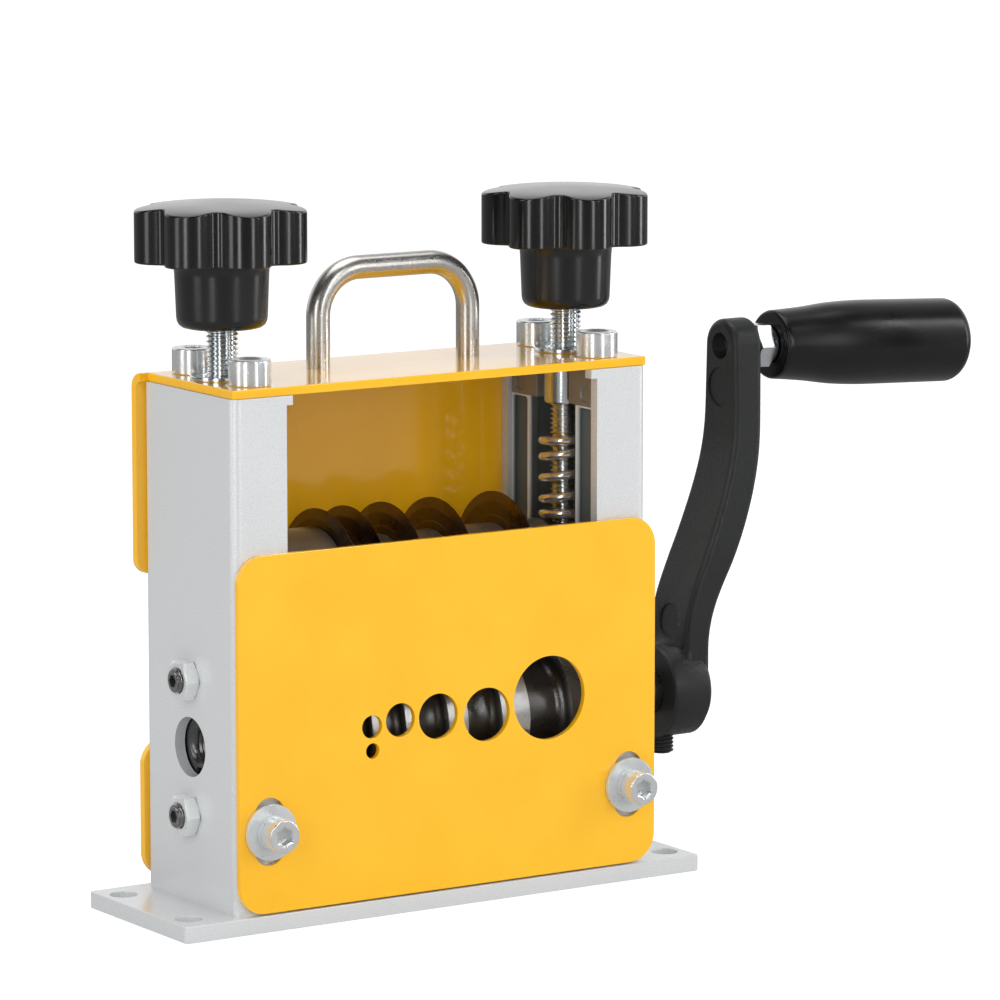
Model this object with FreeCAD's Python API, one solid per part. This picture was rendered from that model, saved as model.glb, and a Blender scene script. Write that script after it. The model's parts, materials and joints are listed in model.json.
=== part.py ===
import FreeCAD, Part
import math
import os
from FreeCAD import Vector

# Hand crank wire stripper. Millimetres. X runs from the plain column to the crank, Y runs from the
# guide plate to the rear guards, Z is up. The origin is the centre of the base plate's underside.

# ---- Driving dimensions ----

# Clearances
running_gap = 0.05          # radial, shaft in bearing or thread in its hole
seat_gap = 0.3              # beside a piece that is not pressed home
screw_hole_gap = 0.3        # radial, screw through a plain hole

# Base plate and its bench holes
base_end = 19.15            # beyond each column
base_side = 2.75            # in front of the columns and behind them
base_thick = 5.3
base_corner = 1.5
bench_hole_r = 4.2
bench_hole_end = 6.65       # from the plate's end
bench_hole_side = 10.0      # from its long edge

# Columns: folded channels, open towards each other
column_half_span = 75.0
column_half_depth = 27.25
column_height = 157.9
column_wall = 3.5
column_flange = 18.7
column_bend_r = 3.0
column_inner_bend_r = 0.8
top_tab = 2.2
top_tab_height = 2.8
base_screw_r = 2.5
base_screw_head_r = 4.8
base_screw_head = 2.4
base_screw_y = 15.0
base_screw_length = 15.0
base_screw_key = 3.0

# Feed shaft, its bearings and the holes on its axis
feed_rise = 44.7            # above the columns' floors
shaft_r = 7.5
shaft_hole_r = 9.25
bearing_r = 16.0
bearing_width = 9.0
bearing_lip = 1.5
bearing_lip_r = 12.0
housing_rise = 25.5         # above the shaft's axis
circlip_thick = 1.0
circlip_side_gap = 0.02
circlip_r = 9.2
circlip_groove = 0.5
circlip_gap = 2.5           # half the opening between its ends
shaft_end_sunk = 0.5        # below the crank hub's outer face
shaft_bore_r = 5.2          # in its plain end
shaft_bore_deep = 14.0

# Set screws with lock nuts, above and below the shaft hole
set_screw_r = 3.6
set_screw_rise = 21.0
set_screw_proud = 1.5
set_screw_socket = 3.0
lock_nut_af = 11.5
lock_nut_thick = 4.5

# Slider guides and the block in the column's top
guide_reach = 13.8          # from the column's inner wall
guide_slot_half = 13.0
guide_lip = 3.2
guide_relief = 0.6
guide_rim = 1.3
guide_pocket_deep = 1.6
guide_pocket_r = 1.2
guide_pocket_lift = 4.0     # above the bearing housing
guide_pocket_rim = 0.5
block_edge = 1.2
top_block_height = 12.8
top_block_notch_half = 9.0
top_block_notch_deep = 2.3
dowel_r = 3.0
dowel_y = 18.5
dowel_drop = 8.7
dowel_deep = 0.6

# Top cover: flat top and rear upper guard in one bent sheet
cover_thick = 2.7
cover_left_inset = 0.7      # from the column's face
cover_right_lap = 0.4       # over it
cover_front = -26.0
cover_bend_r = 5.0
upper_guard_lap = 2.5       # beyond each column
upper_guard_drop = 60.0     # below the columns' tops
upper_guard_corner = 4.5
cover_screw_r = 4.0
cover_screw_head_r = 6.5
cover_screw_head = 8.0
cover_screw_inset = 8.5     # from the column's inner wall
cover_screw_y = 17.0
cover_screw_length = 15.0
cover_screw_key = 6.0

# Adjusting rods, their bushes, springs and knobs
rod_inset = 8.9             # from the column's inner wall
rod_r = 4.95
bush_r = 6.75
bush_length = 16.5
bush_flange_r = 10.0
bush_flange = 1.35
spring_r = 8.7
spring_wire = 2.9
spring_room = 8.6           # under the bush, for the sliders' rise
spring_turns = 5
spring_end_pitch = 3.1      # the first and last coil close up
spring_steps = 16           # per turn
spring_sides = 8
rod_neck_r = 3.2
rod_head_r = 4.7
rod_head = 1.9
knob_r = 26.65
knob_lobes = 7
knob_lobe_r = 8.0
knob_valley_r = 21.3
knob_skirt = 15.9           # at the lobes' tips
knob_shoulder = 1.2         # rise from the tips to the valleys
knob_dome = 1.0             # further rise to the middle
knob_edge = 0.5
knob_hub_r = 14.75
knob_hub_foot_r = 13.9
knob_hub = 20.1
knob_hub_edge = 2.2
knob_bore_cover = 5.0
knob_rise_left = 15.7       # above the cover
knob_rise_right = 14.1
left_knob_turn = 236.1      # degrees, direction of one valley about +Z
right_knob_turn = 230.2

# Carry handle
handle_rod_r = 3.7
handle_left_x = -24.7
handle_right_x = 30.0
handle_y = 6.4
handle_rise = 30.3          # above the cover
handle_bend_r = 14.5
handle_screw_r = 2.0
handle_screw_head_r = 4.0
handle_screw_head = 2.4
handle_screw_length = 10.0
handle_screw_key = 2.5

# Front guide plate, its wire holes and its clamp screws
guide_left_inset = 0.1      # from the column's face
guide_right_lap = 2.15      # beyond it
guide_lift = 0.4            # above the base plate
guide_height = 110.1
guide_thick = 2.0
guide_corner_r = 9.0
wire_holes = [              # one for each blade: distance beside it, height over the shaft, diameter
    (0.5, 5.9, 7.1),
    (0.5, 7.0, 10.35),
    (0.4, 6.7, 14.1),
    (0.2, 5.4, 16.7),
    (0.5, 8.3, 26.3),
]
lower_wire_hole = (0.7, -1.6, 4.7)  # a second one for the first blade
clamp_left_inset = 10.7     # from the column's face
clamp_right_inset = 8.0
clamp_rise = 25.7           # above the base plate
clamp_slot_width = 10.4
clamp_slot_height = 20.8
clamp_screw_r = 3.0
clamp_head_r = 5.2
clamp_head = 6.0
clamp_key = 5.0
washer_r = 8.7
washer_thick = 1.6
spring_washer_r = 5.3
spring_washer_thick = 1.6
spring_washer_slit = 1.2

# Rear lower guard
lower_guard_lap = 0.8       # beyond each column
lower_guard_lift = 2.2      # above the base plate
lower_guard_height = 43.5
lower_guard_thick = 2.65
lower_guard_corner = 8.0
guard_screw_r = 2.5
guard_screw_head_r = 4.75
guard_screw_head = 2.8
guard_screw_key = 3.0
guard_screw_side = 9.0      # from the column's face
guard_screw_inset = 10.5

# Blade spindle
blade_rise = 44.6           # above the feed shaft
blade_r = 25.0
blade_thick = 2.4
blade_edge = 0.3
blade_bevel = 3.0
blade_back = [85.9, 75.7, 61.8, 43.8, 20.9]  # from the right guide's face
spacer_r = 15.25
left_collar_r = 19.5
journal_r = 6.0
blade_bush_wall = 1.8
blade_bush_flange = 1.5
blade_bush_flange_r = 10.5
shaft_end_play = 0.3

# Sliders
slider_reach = 17.5         # from the column's inner wall
slider_half_height = 13.0
slider_side_gap = 0.1
slider_pocket_roof = 2.0

# Feed roller
land_r = 22.0
groove_r = 17.0
groove_lead = 1.7           # from a groove's near wall to its blade
groove_widths = [7.0, 9.0, 10.6, 12.4, 15.8]
groove_fillet = 3.5
land_edge = 0.3
roller_first_land = 3.1
roller_last_land = 4.1
roller_hub_r = 12.0
roller_end_gap = 0.3
key_width = 5.0
key_height = 5.0
key_length = 40.0

# Crank arm
hub_stand_off = 20.5        # from the column
hub_length = 14.9
hub_r = 15.2
hub_edge_r = 2.0
arm_inner_side = [(6.5, 14.5), (14.1, 42.8), (25.1, 74.2), (26.7, 93.5)]   # from hub and axis
arm_outer_side = [(16.2, 12.5), (26.0, 41.8), (36.2, 73.3), (37.4, 93.5)]
arm_tip_outer = 37.7        # from the hub's inner face
arm_width = 22.0
arm_tip_r = 8.65
arm_edge_r = 2.2
crank_throw = 109.7
tip_hole_r = 4.3
tip_hole_deep = 4.5
gate_mark_r = 6.35
gate_mark_drop = 13.3       # below the spindle
gate_mark_deep = 0.5
foot_mark_r = 5.3
foot_mark_rise = 22.5       # above the shaft's axis
foot_mark_deep = 0.6
clamp_bolt_inset = 4.5      # from the hub's inner face
clamp_bolt_r = 4.0
clamp_bolt_drop = 20.6      # below the shaft's axis
clamp_bolt_key = 4.0
clamp_bolt_socket = 4.0

# Grip and its spindle, on an axis that droops a little outwards
grip_droop = 2.6            # degrees
spindle_r = 4.0
spindle_cover = 10.5        # grip beyond the spindle's end
spindle_shoulder_r = 6.2
spindle_shoulder = 1.2
nut_seat = 0.2
nut_af = 13.4
nut_thick = 6.5
grip_play = 0.6             # to the spindle's shoulder
grip_length = 73.8
grip_swell = [(0.8, 11.1), (12.3, 11.95), (24.3, 13.3), (38.3, 13.8), (69.8, 13.7)]
grip_end_r = 4.0
grip_bore_gap = 0.1

# ---- Sizes that follow from them ----

column_top = base_thick + column_height
column_inner_x = column_half_span - column_wall
column_inner_y = column_half_depth - column_wall
column_edge_x = column_half_span - column_flange
floor_top = base_thick + column_wall
base_length = 2 * (column_half_span + base_end)
base_depth = 2 * (column_half_depth + base_side)
bench_hole_x = base_length / 2 - bench_hole_end
bench_hole_y = base_depth / 2 - bench_hole_side
feed_z = floor_top + feed_rise
blade_z = feed_z + blade_rise
housing_top = feed_z + housing_rise
block_half_depth = column_inner_y - seat_gap
guide_face_x = column_inner_x - guide_reach
slider_inner_x = column_inner_x - slider_reach
block_bottom = column_top - top_block_height
base_screw_x = (guide_face_x + column_inner_x) / 2
set_screw_z = [feed_z - set_screw_rise, feed_z + set_screw_rise]
cover_top = column_top + cover_thick
cover_left = cover_left_inset - column_half_span
cover_right = column_half_span + cover_right_lap
cover_screw_x = column_inner_x - cover_screw_inset
upper_guard_half = column_half_span + upper_guard_lap
upper_guard_bottom = column_top - upper_guard_drop
rod_x = column_inner_x - rod_inset
spring_top = cover_top - bush_length - spring_room
left_knob_bottom = cover_top + knob_rise_left
right_knob_bottom = cover_top + knob_rise_right
handle_top = cover_top + handle_rise
guard_face_y = column_half_depth + cover_thick
guide_face_y = -column_half_depth - guide_thick
guide_left = guide_left_inset - column_half_span
guide_right = column_half_span + guide_right_lap
guide_bottom = base_thick + guide_lift
guide_top = guide_bottom + guide_height
clamp_left_x = clamp_left_inset - column_half_span
clamp_right_x = column_half_span - clamp_right_inset
clamp_z = base_thick + clamp_rise
lower_guard_half = column_half_span + lower_guard_lap
lower_guard_bottom = base_thick + lower_guard_lift
lower_guard_top = lower_guard_bottom + lower_guard_height
guard_screw_x = column_half_span - guard_screw_side
blade_x = [guide_face_x - back for back in blade_back]
roller_left = blade_x[0] - groove_lead - roller_first_land
roller_right = blade_x[-1] - groove_lead + groove_widths[-1] + roller_last_land
slider_bottom = blade_z - slider_half_height
slider_top = blade_z + slider_half_height
spindle_half = slider_inner_x - blade_bush_flange - shaft_end_play
bearing_outer_x = column_inner_x - bearing_lip
bearing_inner_x = bearing_outer_x - bearing_width
journal_end_x = column_inner_x - seat_gap
feed_shaft_left = -column_inner_x
hub_inner_x = column_half_span + hub_stand_off
hub_outer_x = hub_inner_x + hub_length
feed_shaft_right = hub_outer_x - shaft_end_sunk
arm_inner = [(hub_inner_x + out, feed_z + up) for out, up in arm_inner_side]
arm_outer = [(hub_inner_x + out, feed_z + up) for out, up in arm_outer_side]
arm_tip_outer_x = hub_inner_x + arm_tip_outer
arm_tip_z = feed_z + crank_throw
gate_mark_z = arm_tip_z - gate_mark_drop
foot_mark_z = feed_z + foot_mark_rise
clamp_screw_x = hub_inner_x + clamp_bolt_inset
clamp_bolt_end = feed_z - clamp_bolt_drop
nut_start = arm_tip_outer_x + nut_seat
grip_start = nut_start + nut_thick + spindle_shoulder + grip_play
grip_end = grip_start + grip_length
grip_outline = [(grip_start + along, radius) for along, radius in grip_swell]
spindle_end = grip_end - spindle_cover

X = Vector(1, 0, 0)
Y = Vector(0, 1, 0)
Z = Vector(0, 0, 1)


# ---- Shapes used by many pieces ----

def block(x, y, z):
    """A box between pairs of limits."""
    return Part.makeBox(x[1] - x[0], y[1] - y[0], z[1] - z[0], Vector(x[0], y[0], z[0]))


def rod_along_x(radius, x, y, z):
    return Part.makeCylinder(radius, x[1] - x[0], Vector(x[0], y, z), X)


def rod_along_y(radius, x, y, z):
    return Part.makeCylinder(radius, y[1] - y[0], Vector(x, y[0], z), Y)


def rod_along_z(radius, x, y, z):
    return Part.makeCylinder(radius, z[1] - z[0], Vector(x, y, z[0]), Z)


def edges_along(shape, direction):
    """Straight edges of a shape that run along a direction."""
    picked = []
    for edge in shape.Edges:
        if edge.Curve.TypeId == "Part::GeomLine":
            if abs(abs(edge.Curve.Direction.dot(direction)) - 1) < 1e-6:
                picked.append(edge)
    return picked


def turned(outline, centre, axis):
    """A turned solid from (along, radius) points, about an axis through centre."""
    side = Z if abs(axis.dot(Z)) < 0.5 else X
    points = [centre + axis * along + side * radius for along, radius in outline]
    face = Part.Face(Part.makePolygon(points + points[:1]))
    return face.revolve(centre, axis, 360)


def hexagon(across_flats, length, base, axis, first_corner):
    """A hexagonal prism whose first corner points along first_corner."""
    side = axis.cross(first_corner)
    radius = across_flats / math.sqrt(3)
    corners = []
    for index in range(7):
        angle = index * math.pi / 3
        corners.append(base + first_corner * (radius * math.cos(angle)) + side * (radius * math.sin(angle)))
    return Part.Face(Part.makePolygon(corners)).extrude(axis * length)


def hex_nut(across_flats, length, bore_r, base, axis, first_corner):
    """A hexagon with both ends' corners turned off, and its bore."""
    nut = hexagon(across_flats, length, base, axis, first_corner)
    flat_r = across_flats / 2
    corner_r = across_flats / math.sqrt(3)
    drop = (corner_r - flat_r) * 0.6
    body = turned([(0, 0), (0, flat_r), (drop, corner_r), (length - drop, corner_r),
                   (length, flat_r), (length, 0)], base, axis)
    return nut.common(body).cut(Part.makeCylinder(bore_r, length, base, axis))


def cap_screw(shank_r, shank, head_r, head, key, seat, axis, first_corner):
    """A socket cap screw. The seat is under its head, and axis points out of the head."""
    edge = head_r * 0.08
    screw = turned([(-shank, 0), (-shank, shank_r), (0, shank_r), (0, head_r),
                    (head - edge, head_r), (head, head_r - edge), (head, 0)], seat, axis)
    socket_deep = head * 0.55
    return screw.cut(hexagon(key, socket_deep, seat + axis * (head - socket_deep), axis, first_corner))


def mirrored(shape):
    """The same piece on the other column."""
    return shape.mirror(Vector(0, 0, 0), X)


def save(node, *solids):
    shape = solids[0] if len(solids) == 1 else Part.makeCompound(list(solids))
    shape.exportStep("parts/" + node + ".step")


# ---- Base plate, columns and what is bolted inside them ----

def base_plate():
    plate = block((-base_length / 2, base_length / 2), (-base_depth / 2, base_depth / 2), (0, base_thick))
    plate = plate.makeFillet(base_corner, edges_along(plate, Z))
    for side in (-1, 1):
        for end in (-1, 1):
            hole = rod_along_z(bench_hole_r, side * bench_hole_x, end * bench_hole_y, (0, base_thick))
            seat = Vector(side * base_screw_x, end * base_screw_y, 0)
            wide = base_screw_head_r + running_gap
            narrow = base_screw_r + running_gap
            screw_hole = turned([(0, 0), (0, wide), (base_screw_head + running_gap, narrow),
                                 (base_thick, narrow), (base_thick, 0)], seat, Z)
            plate = plate.cut(hole).cut(screw_hole)
    return plate


def base_screw(x, y):
    """A countersunk screw, flush with the underside, up through the column's floor."""
    screw = turned([(0.1, 0), (0.1, base_screw_head_r - 0.1), (base_screw_head, base_screw_r),
                    (base_screw_length, base_screw_r), (base_screw_length, 0)], Vector(x, y, 0), Z)
    return screw.cut(hexagon(base_screw_key, base_screw_head / 2, Vector(x, y, 0.1), Z, X))


def base_screw_hole(x, y, z):
    return rod_along_z(base_screw_r + running_gap, x, y, z)


def right_column():
    outer = [(column_edge_x, -column_half_depth), (column_half_span, -column_half_depth),
             (column_half_span, column_half_depth), (column_edge_x, column_half_depth),
             (column_edge_x, column_inner_y), (column_inner_x, column_inner_y),
             (column_inner_x, -column_inner_y), (column_edge_x, -column_inner_y)]
    points = [Vector(x, y, base_thick) for x, y in outer]
    column = Part.Face(Part.makePolygon(points + points[:1])).extrude(Z * (column_top - base_thick))
    outside = [edge for edge in edges_along(column, Z) if edge.CenterOfMass.x > column_half_span - 0.1]
    column = column.makeFillet(column_bend_r, outside)
    inside = [edge for edge in edges_along(column, Z) if abs(edge.CenterOfMass.x - column_inner_x) < 0.1]
    column = column.makeFillet(column_inner_bend_r, inside)
    column = column.fuse(block((column_edge_x, column_inner_x + 1), (-column_inner_y - 1, column_inner_y + 1),
                               (base_thick, floor_top)))
    tab_z = (column_top - top_tab_height, column_top)
    for y in ((-column_half_depth, -column_inner_y), (column_inner_y, column_half_depth)):
        column = column.fuse(block((column_edge_x - top_tab, column_edge_x), y, tab_z))
    column = column.removeSplitter().cut(cover_bend_room())
    wall_x = (column_inner_x - 1, column_half_span + 1)
    column = column.cut(rod_along_x(shaft_hole_r, wall_x, 0, feed_z))
    for z in set_screw_z:
        column = column.cut(rod_along_x(set_screw_r + running_gap, wall_x, 0, z))
    for y in (-base_screw_y, base_screw_y):
        column = column.cut(base_screw_hole(base_screw_x, y, (base_thick, floor_top)))
    for z in guard_screw_z():
        column = column.cut(rod_along_y(guard_screw_r + running_gap, guard_screw_x,
                                        (column_inner_y - 1, column_half_depth + 1), z))
    return column


def cover_bend_room():
    """What is rounded off the column's rear top edge, where the cover's bend lies over it."""
    radius = cover_bend_r - cover_thick + seat_gap
    y = column_half_depth - radius
    z = column_top - radius
    x = (column_edge_x - top_tab - 1, column_half_span + 1)
    corner = block(x, (y, column_half_depth + 1), (z, column_top + 1))
    return corner.cut(rod_along_x(radius, x, y, z))


def with_clamp_hole(column, x):
    """The tapped hole for the guide plate's clamp screw, in the front flange."""
    y = (-column_half_depth - 1, -column_inner_y + 1)
    return column.cut(rod_along_y(clamp_screw_r + running_gap, x, y, clamp_z))


def chamfered_block(z):
    """A block that fills the channel, clear of its inner bends."""
    body = block((guide_face_x, column_inner_x), (-block_half_depth, block_half_depth), z)
    outer = [edge for edge in edges_along(body, Z) if edge.CenterOfMass.x > column_inner_x - 0.1]
    return body.makeChamfer(block_edge, outer)


def right_bearing_housing():
    housing = chamfered_block((floor_top, housing_top))
    bore = rod_along_x(bearing_r + running_gap / 2, (guide_face_x, bearing_outer_x), 0, feed_z)
    lip = rod_along_x(bearing_lip_r, (guide_face_x, column_inner_x), 0, feed_z)
    housing = housing.cut(bore).cut(lip)
    for y in (-base_screw_y, base_screw_y):
        housing = housing.cut(base_screw_hole(base_screw_x, y, (floor_top, base_screw_length + 1)))
    return housing


def right_drive_bearing():
    """A sealed ball bearing: two races with a sunk shield between them on each side."""
    inner_r = shaft_r + running_gap
    inner_race_r = inner_r + 2.2
    outer_race_r = bearing_r - 2.6
    shield = 0.6
    outline = [(0, inner_r), (0, inner_race_r), (shield, inner_race_r), (shield, outer_race_r),
               (0, outer_race_r), (0, bearing_r - 0.6), (0.6, bearing_r),
               (bearing_width - 0.6, bearing_r), (bearing_width, bearing_r - 0.6),
               (bearing_width, outer_race_r), (bearing_width - shield, outer_race_r),
               (bearing_width - shield, inner_race_r), (bearing_width, inner_race_r), (bearing_width, inner_r)]
    return turned(outline, Vector(bearing_inner_x, 0, feed_z), X)


def right_slide_rails():
    """Two legs that guide the slider, each with a lip, a relief behind it and a sunk face."""
    whole = chamfered_block((housing_top, block_bottom))
    slot = block((guide_face_x, column_inner_x), (-guide_slot_half, guide_slot_half), (housing_top, block_bottom))
    relief_half = guide_slot_half + guide_relief
    relief = block((guide_face_x + guide_lip, column_inner_x), (-relief_half, relief_half),
                   (housing_top, block_bottom))
    whole = whole.cut(slot).cut(relief)
    for side in (-1, 1):
        near = side * (guide_slot_half + guide_rim)
        far = side * (block_half_depth - guide_pocket_rim)
        pocket = block((guide_face_x, guide_face_x + guide_pocket_deep), (min(near, far), max(near, far)),
                       (housing_top + guide_pocket_lift, block_bottom - guide_pocket_rim))
        pocket = pocket.makeFillet(guide_pocket_r, edges_along(pocket, X))
        whole = whole.cut(pocket)
    return whole.Solids


def right_top_block():
    top = chamfered_block((block_bottom, column_top))
    notch = block((guide_face_x, guide_face_x + top_block_notch_deep),
                  (-top_block_notch_half, top_block_notch_half), (block_bottom, column_top))
    top = top.cut(notch).cut(rod_along_z(bush_r + running_gap, rod_x, 0, (block_bottom, column_top)))
    for side in (-1, 1):
        screw_hole = rod_along_z(cover_screw_r + running_gap, cover_screw_x, side * cover_screw_y,
                                 (block_bottom, column_top))
        dowel = rod_along_x(dowel_r, (guide_face_x, guide_face_x + dowel_deep), side * dowel_y,
                            column_top - dowel_drop)
        top = top.cut(screw_hole).cut(dowel)
    return top


def set_screw(side, z):
    """A socket set screw whose tip presses on the bearing housing."""
    start = Vector(side * column_inner_x, 0, z)
    out = X * side
    length = column_wall + lock_nut_thick + set_screw_proud
    tip = 0.6
    screw = turned([(0.05, 0), (0.05, set_screw_r - tip), (tip, set_screw_r), (length - tip, set_screw_r),
                    (length, set_screw_r - tip), (length, 0)], start, out)
    socket = start + out * (length - set_screw_socket)
    return screw.cut(hexagon(set_screw_r, set_screw_socket, socket, out, Y))


def lock_nut(side, z):
    return hex_nut(lock_nut_af, lock_nut_thick, set_screw_r + running_gap,
                   Vector(side * column_half_span, 0, z), X * side, Y)


# ---- Top cover with the rear upper guard, its screws, and the handle ----

def top_cover():
    profile = [(cover_front, cover_top), (guard_face_y, cover_top), (guard_face_y, upper_guard_bottom),
               (column_half_depth, upper_guard_bottom), (column_half_depth, column_top), (cover_front, column_top)]
    points = [Vector(-upper_guard_half, y, z) for y, z in profile]
    sheet = Part.Face(Part.makePolygon(points + points[:1])).extrude(X * (2 * upper_guard_half))
    bend_outside = [edge for edge in edges_along(sheet, X)
                    if edge.CenterOfMass.y > guard_face_y - 0.1 and edge.CenterOfMass.z > cover_top - 0.1]
    sheet = sheet.makeFillet(cover_bend_r, bend_outside)
    bend_inside = [edge for edge in edges_along(sheet, X)
                   if abs(edge.CenterOfMass.y - column_half_depth) < 0.1
                   and abs(edge.CenterOfMass.z - column_top) < 0.1]
    sheet = sheet.makeFillet(cover_bend_r - cover_thick, bend_inside)
    lower_corners = [edge for edge in edges_along(sheet, Y)
                     if edge.CenterOfMass.y > column_half_depth and edge.CenterOfMass.z < upper_guard_bottom + 0.1]
    sheet = sheet.makeFillet(upper_guard_corner, lower_corners)
    bend_start = guard_face_y - cover_bend_r
    for x in ((-upper_guard_half, cover_left), (cover_right, upper_guard_half)):
        sheet = sheet.cut(block(x, (cover_front - 1, bend_start), (column_top - 1, cover_top + 1)))
    for side in (-1, 1):
        sheet = sheet.cut(rod_along_z(bush_r + 2 * running_gap, side * rod_x, 0, (column_top, cover_top)))
        for end in (-1, 1):
            sheet = sheet.cut(rod_along_z(cover_screw_r + screw_hole_gap, side * cover_screw_x,
                                          end * cover_screw_y, (column_top, cover_top)))
    for x in (handle_left_x, handle_right_x):
        sheet = sheet.cut(rod_along_z(handle_screw_r + running_gap, x, handle_y, (column_top, cover_top)))
    return sheet


def cover_screws():
    screws = []
    for x in (-cover_screw_x, cover_screw_x):
        for y in (-cover_screw_y, cover_screw_y):
            screws.append(cap_screw(cover_screw_r, cover_screw_length, cover_screw_head_r, cover_screw_head,
                                    cover_screw_key, Vector(x, y, cover_top), Z, X))
    return screws


def carry_handle():
    """A round rod with two bends. Its legs stand on the cover and are screwed from below."""
    left = handle_left_x
    right = handle_right_x
    bend_z = handle_top - handle_bend_r
    slack = handle_bend_r * (1 - math.sqrt(0.5))
    foot = Vector(left, handle_y, cover_top)
    rise = Vector(left, handle_y, bend_z)
    over = Vector(left + handle_bend_r, handle_y, handle_top)
    over_end = Vector(right - handle_bend_r, handle_y, handle_top)
    fall = Vector(right, handle_y, bend_z)
    end = Vector(right, handle_y, cover_top)
    left_middle = Vector(left + slack, handle_y, handle_top - slack)
    right_middle = Vector(right - slack, handle_y, handle_top - slack)
    route = Part.Wire([Part.makeLine(foot, rise), Part.Arc(rise, left_middle, over).toShape(),
                       Part.makeLine(over, over_end), Part.Arc(over_end, right_middle, fall).toShape(),
                       Part.makeLine(fall, end)])
    section = Part.Wire(Part.makeCircle(handle_rod_r, foot, Z))
    handle = route.makePipeShell([section], True, True)
    for x in (left, right):
        handle = handle.cut(rod_along_z(handle_screw_r + running_gap, x, handle_y,
                                        (cover_top, cover_top + handle_screw_length)))
    return handle


def handle_screws():
    screws = []
    for x in (handle_left_x, handle_right_x):
        screws.append(cap_screw(handle_screw_r, cover_thick + handle_screw_length - 1, handle_screw_head_r,
                                handle_screw_head, handle_screw_key, Vector(x, handle_y, column_top), Z * -1, X))
    return screws


# ---- Front guide plate, its clamp screws, and the rear lower guard ----

def guide_plate():
    plate = block((guide_left, guide_right), (guide_face_y, -column_half_depth), (guide_bottom, guide_top))
    plate = plate.makeFillet(guide_corner_r, edges_along(plate, Y))
    for blade, (aside, up, diameter) in zip(blade_x + blade_x[:1], wire_holes + [lower_wire_hole]):
        plate = plate.cut(rod_along_y(diameter / 2, blade + aside, (guide_face_y, -column_half_depth),
                                      feed_z + up))
    straight = clamp_slot_height - clamp_slot_width
    for x in (clamp_left_x, clamp_right_x):
        half = clamp_slot_width / 2
        plate = plate.cut(block((x - half, x + half), (guide_face_y, -column_half_depth),
                                (clamp_z - straight / 2, clamp_z + straight / 2)))
        for z in (clamp_z - straight / 2, clamp_z + straight / 2):
            plate = plate.cut(rod_along_y(half, x, (guide_face_y, -column_half_depth), z))
    return plate


def clamp_screw(x):
    seat_y = guide_face_y - washer_thick - spring_washer_thick
    shank = -seat_y - column_inner_y - 0.1
    return cap_screw(clamp_screw_r, shank, clamp_head_r, clamp_head, clamp_key,
                     Vector(x, seat_y, clamp_z), Y * -1, Z)


def flat_washer(x):
    y = (guide_face_y - washer_thick, guide_face_y)
    return rod_along_y(washer_r, x, y, clamp_z).cut(rod_along_y(clamp_screw_r + screw_hole_gap, x, y, clamp_z))


def spring_washer(x):
    y = (guide_face_y - washer_thick - spring_washer_thick, guide_face_y - washer_thick)
    ring = rod_along_y(spring_washer_r, x, y, clamp_z)
    ring = ring.cut(rod_along_y(clamp_screw_r + running_gap, x, y, clamp_z))
    half = spring_washer_slit / 2
    return ring.cut(block((x, x + spring_washer_r + 1), y, (clamp_z - half, clamp_z + half)))


def guard_screw_z():
    return (lower_guard_bottom + guard_screw_inset, lower_guard_top - guard_screw_inset)


def lower_guard():
    y = (column_half_depth, column_half_depth + lower_guard_thick)
    guard = block((-lower_guard_half, lower_guard_half), y, (lower_guard_bottom, lower_guard_top))
    guard = guard.makeFillet(lower_guard_corner, edges_along(guard, Y))
    for x in (-guard_screw_x, guard_screw_x):
        for z in guard_screw_z():
            guard = guard.cut(rod_along_y(guard_screw_r + screw_hole_gap, x, y, z))
    return guard


def guard_screws():
    seat_y = column_half_depth + lower_guard_thick
    shank = seat_y - column_inner_y - 0.1
    screws = []
    for x in (-guard_screw_x, guard_screw_x):
        for z in guard_screw_z():
            screws.append(cap_screw(guard_screw_r, shank, guard_screw_head_r, guard_screw_head,
                                    guard_screw_key, Vector(x, seat_y, z), Y, Z))
    return screws


# ---- Adjusting rods with their knobs, bushes and springs ----

def threaded_bush():
    length = cover_top - bush_length
    return turned([(length, rod_r + running_gap), (length, bush_r - 0.5), (length + 0.5, bush_r),
                   (cover_top, bush_r), (cover_top, bush_flange_r), (cover_top + bush_flange, bush_flange_r),
                   (cover_top + bush_flange, rod_r + running_gap)], Vector(rod_x, 0, 0), Z)


def head_top():
    """Top of the rod's turned head, under the roof of the slider's pocket."""
    return slider_top - slider_pocket_roof - running_gap


def adjusting_rod(knob_bottom):
    top = knob_bottom + knob_hub + knob_skirt - knob_bore_cover
    thread_start = slider_top + seat_gap
    return turned([(head_top() - rod_head, 0), (head_top() - rod_head, rod_head_r), (head_top(), rod_head_r),
                   (head_top(), rod_neck_r), (thread_start, rod_neck_r), (thread_start, rod_r - 0.6),
                   (thread_start + 0.6, rod_r), (top, rod_r), (top, 0)], Vector(rod_x, 0, 0), Z)


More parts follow.
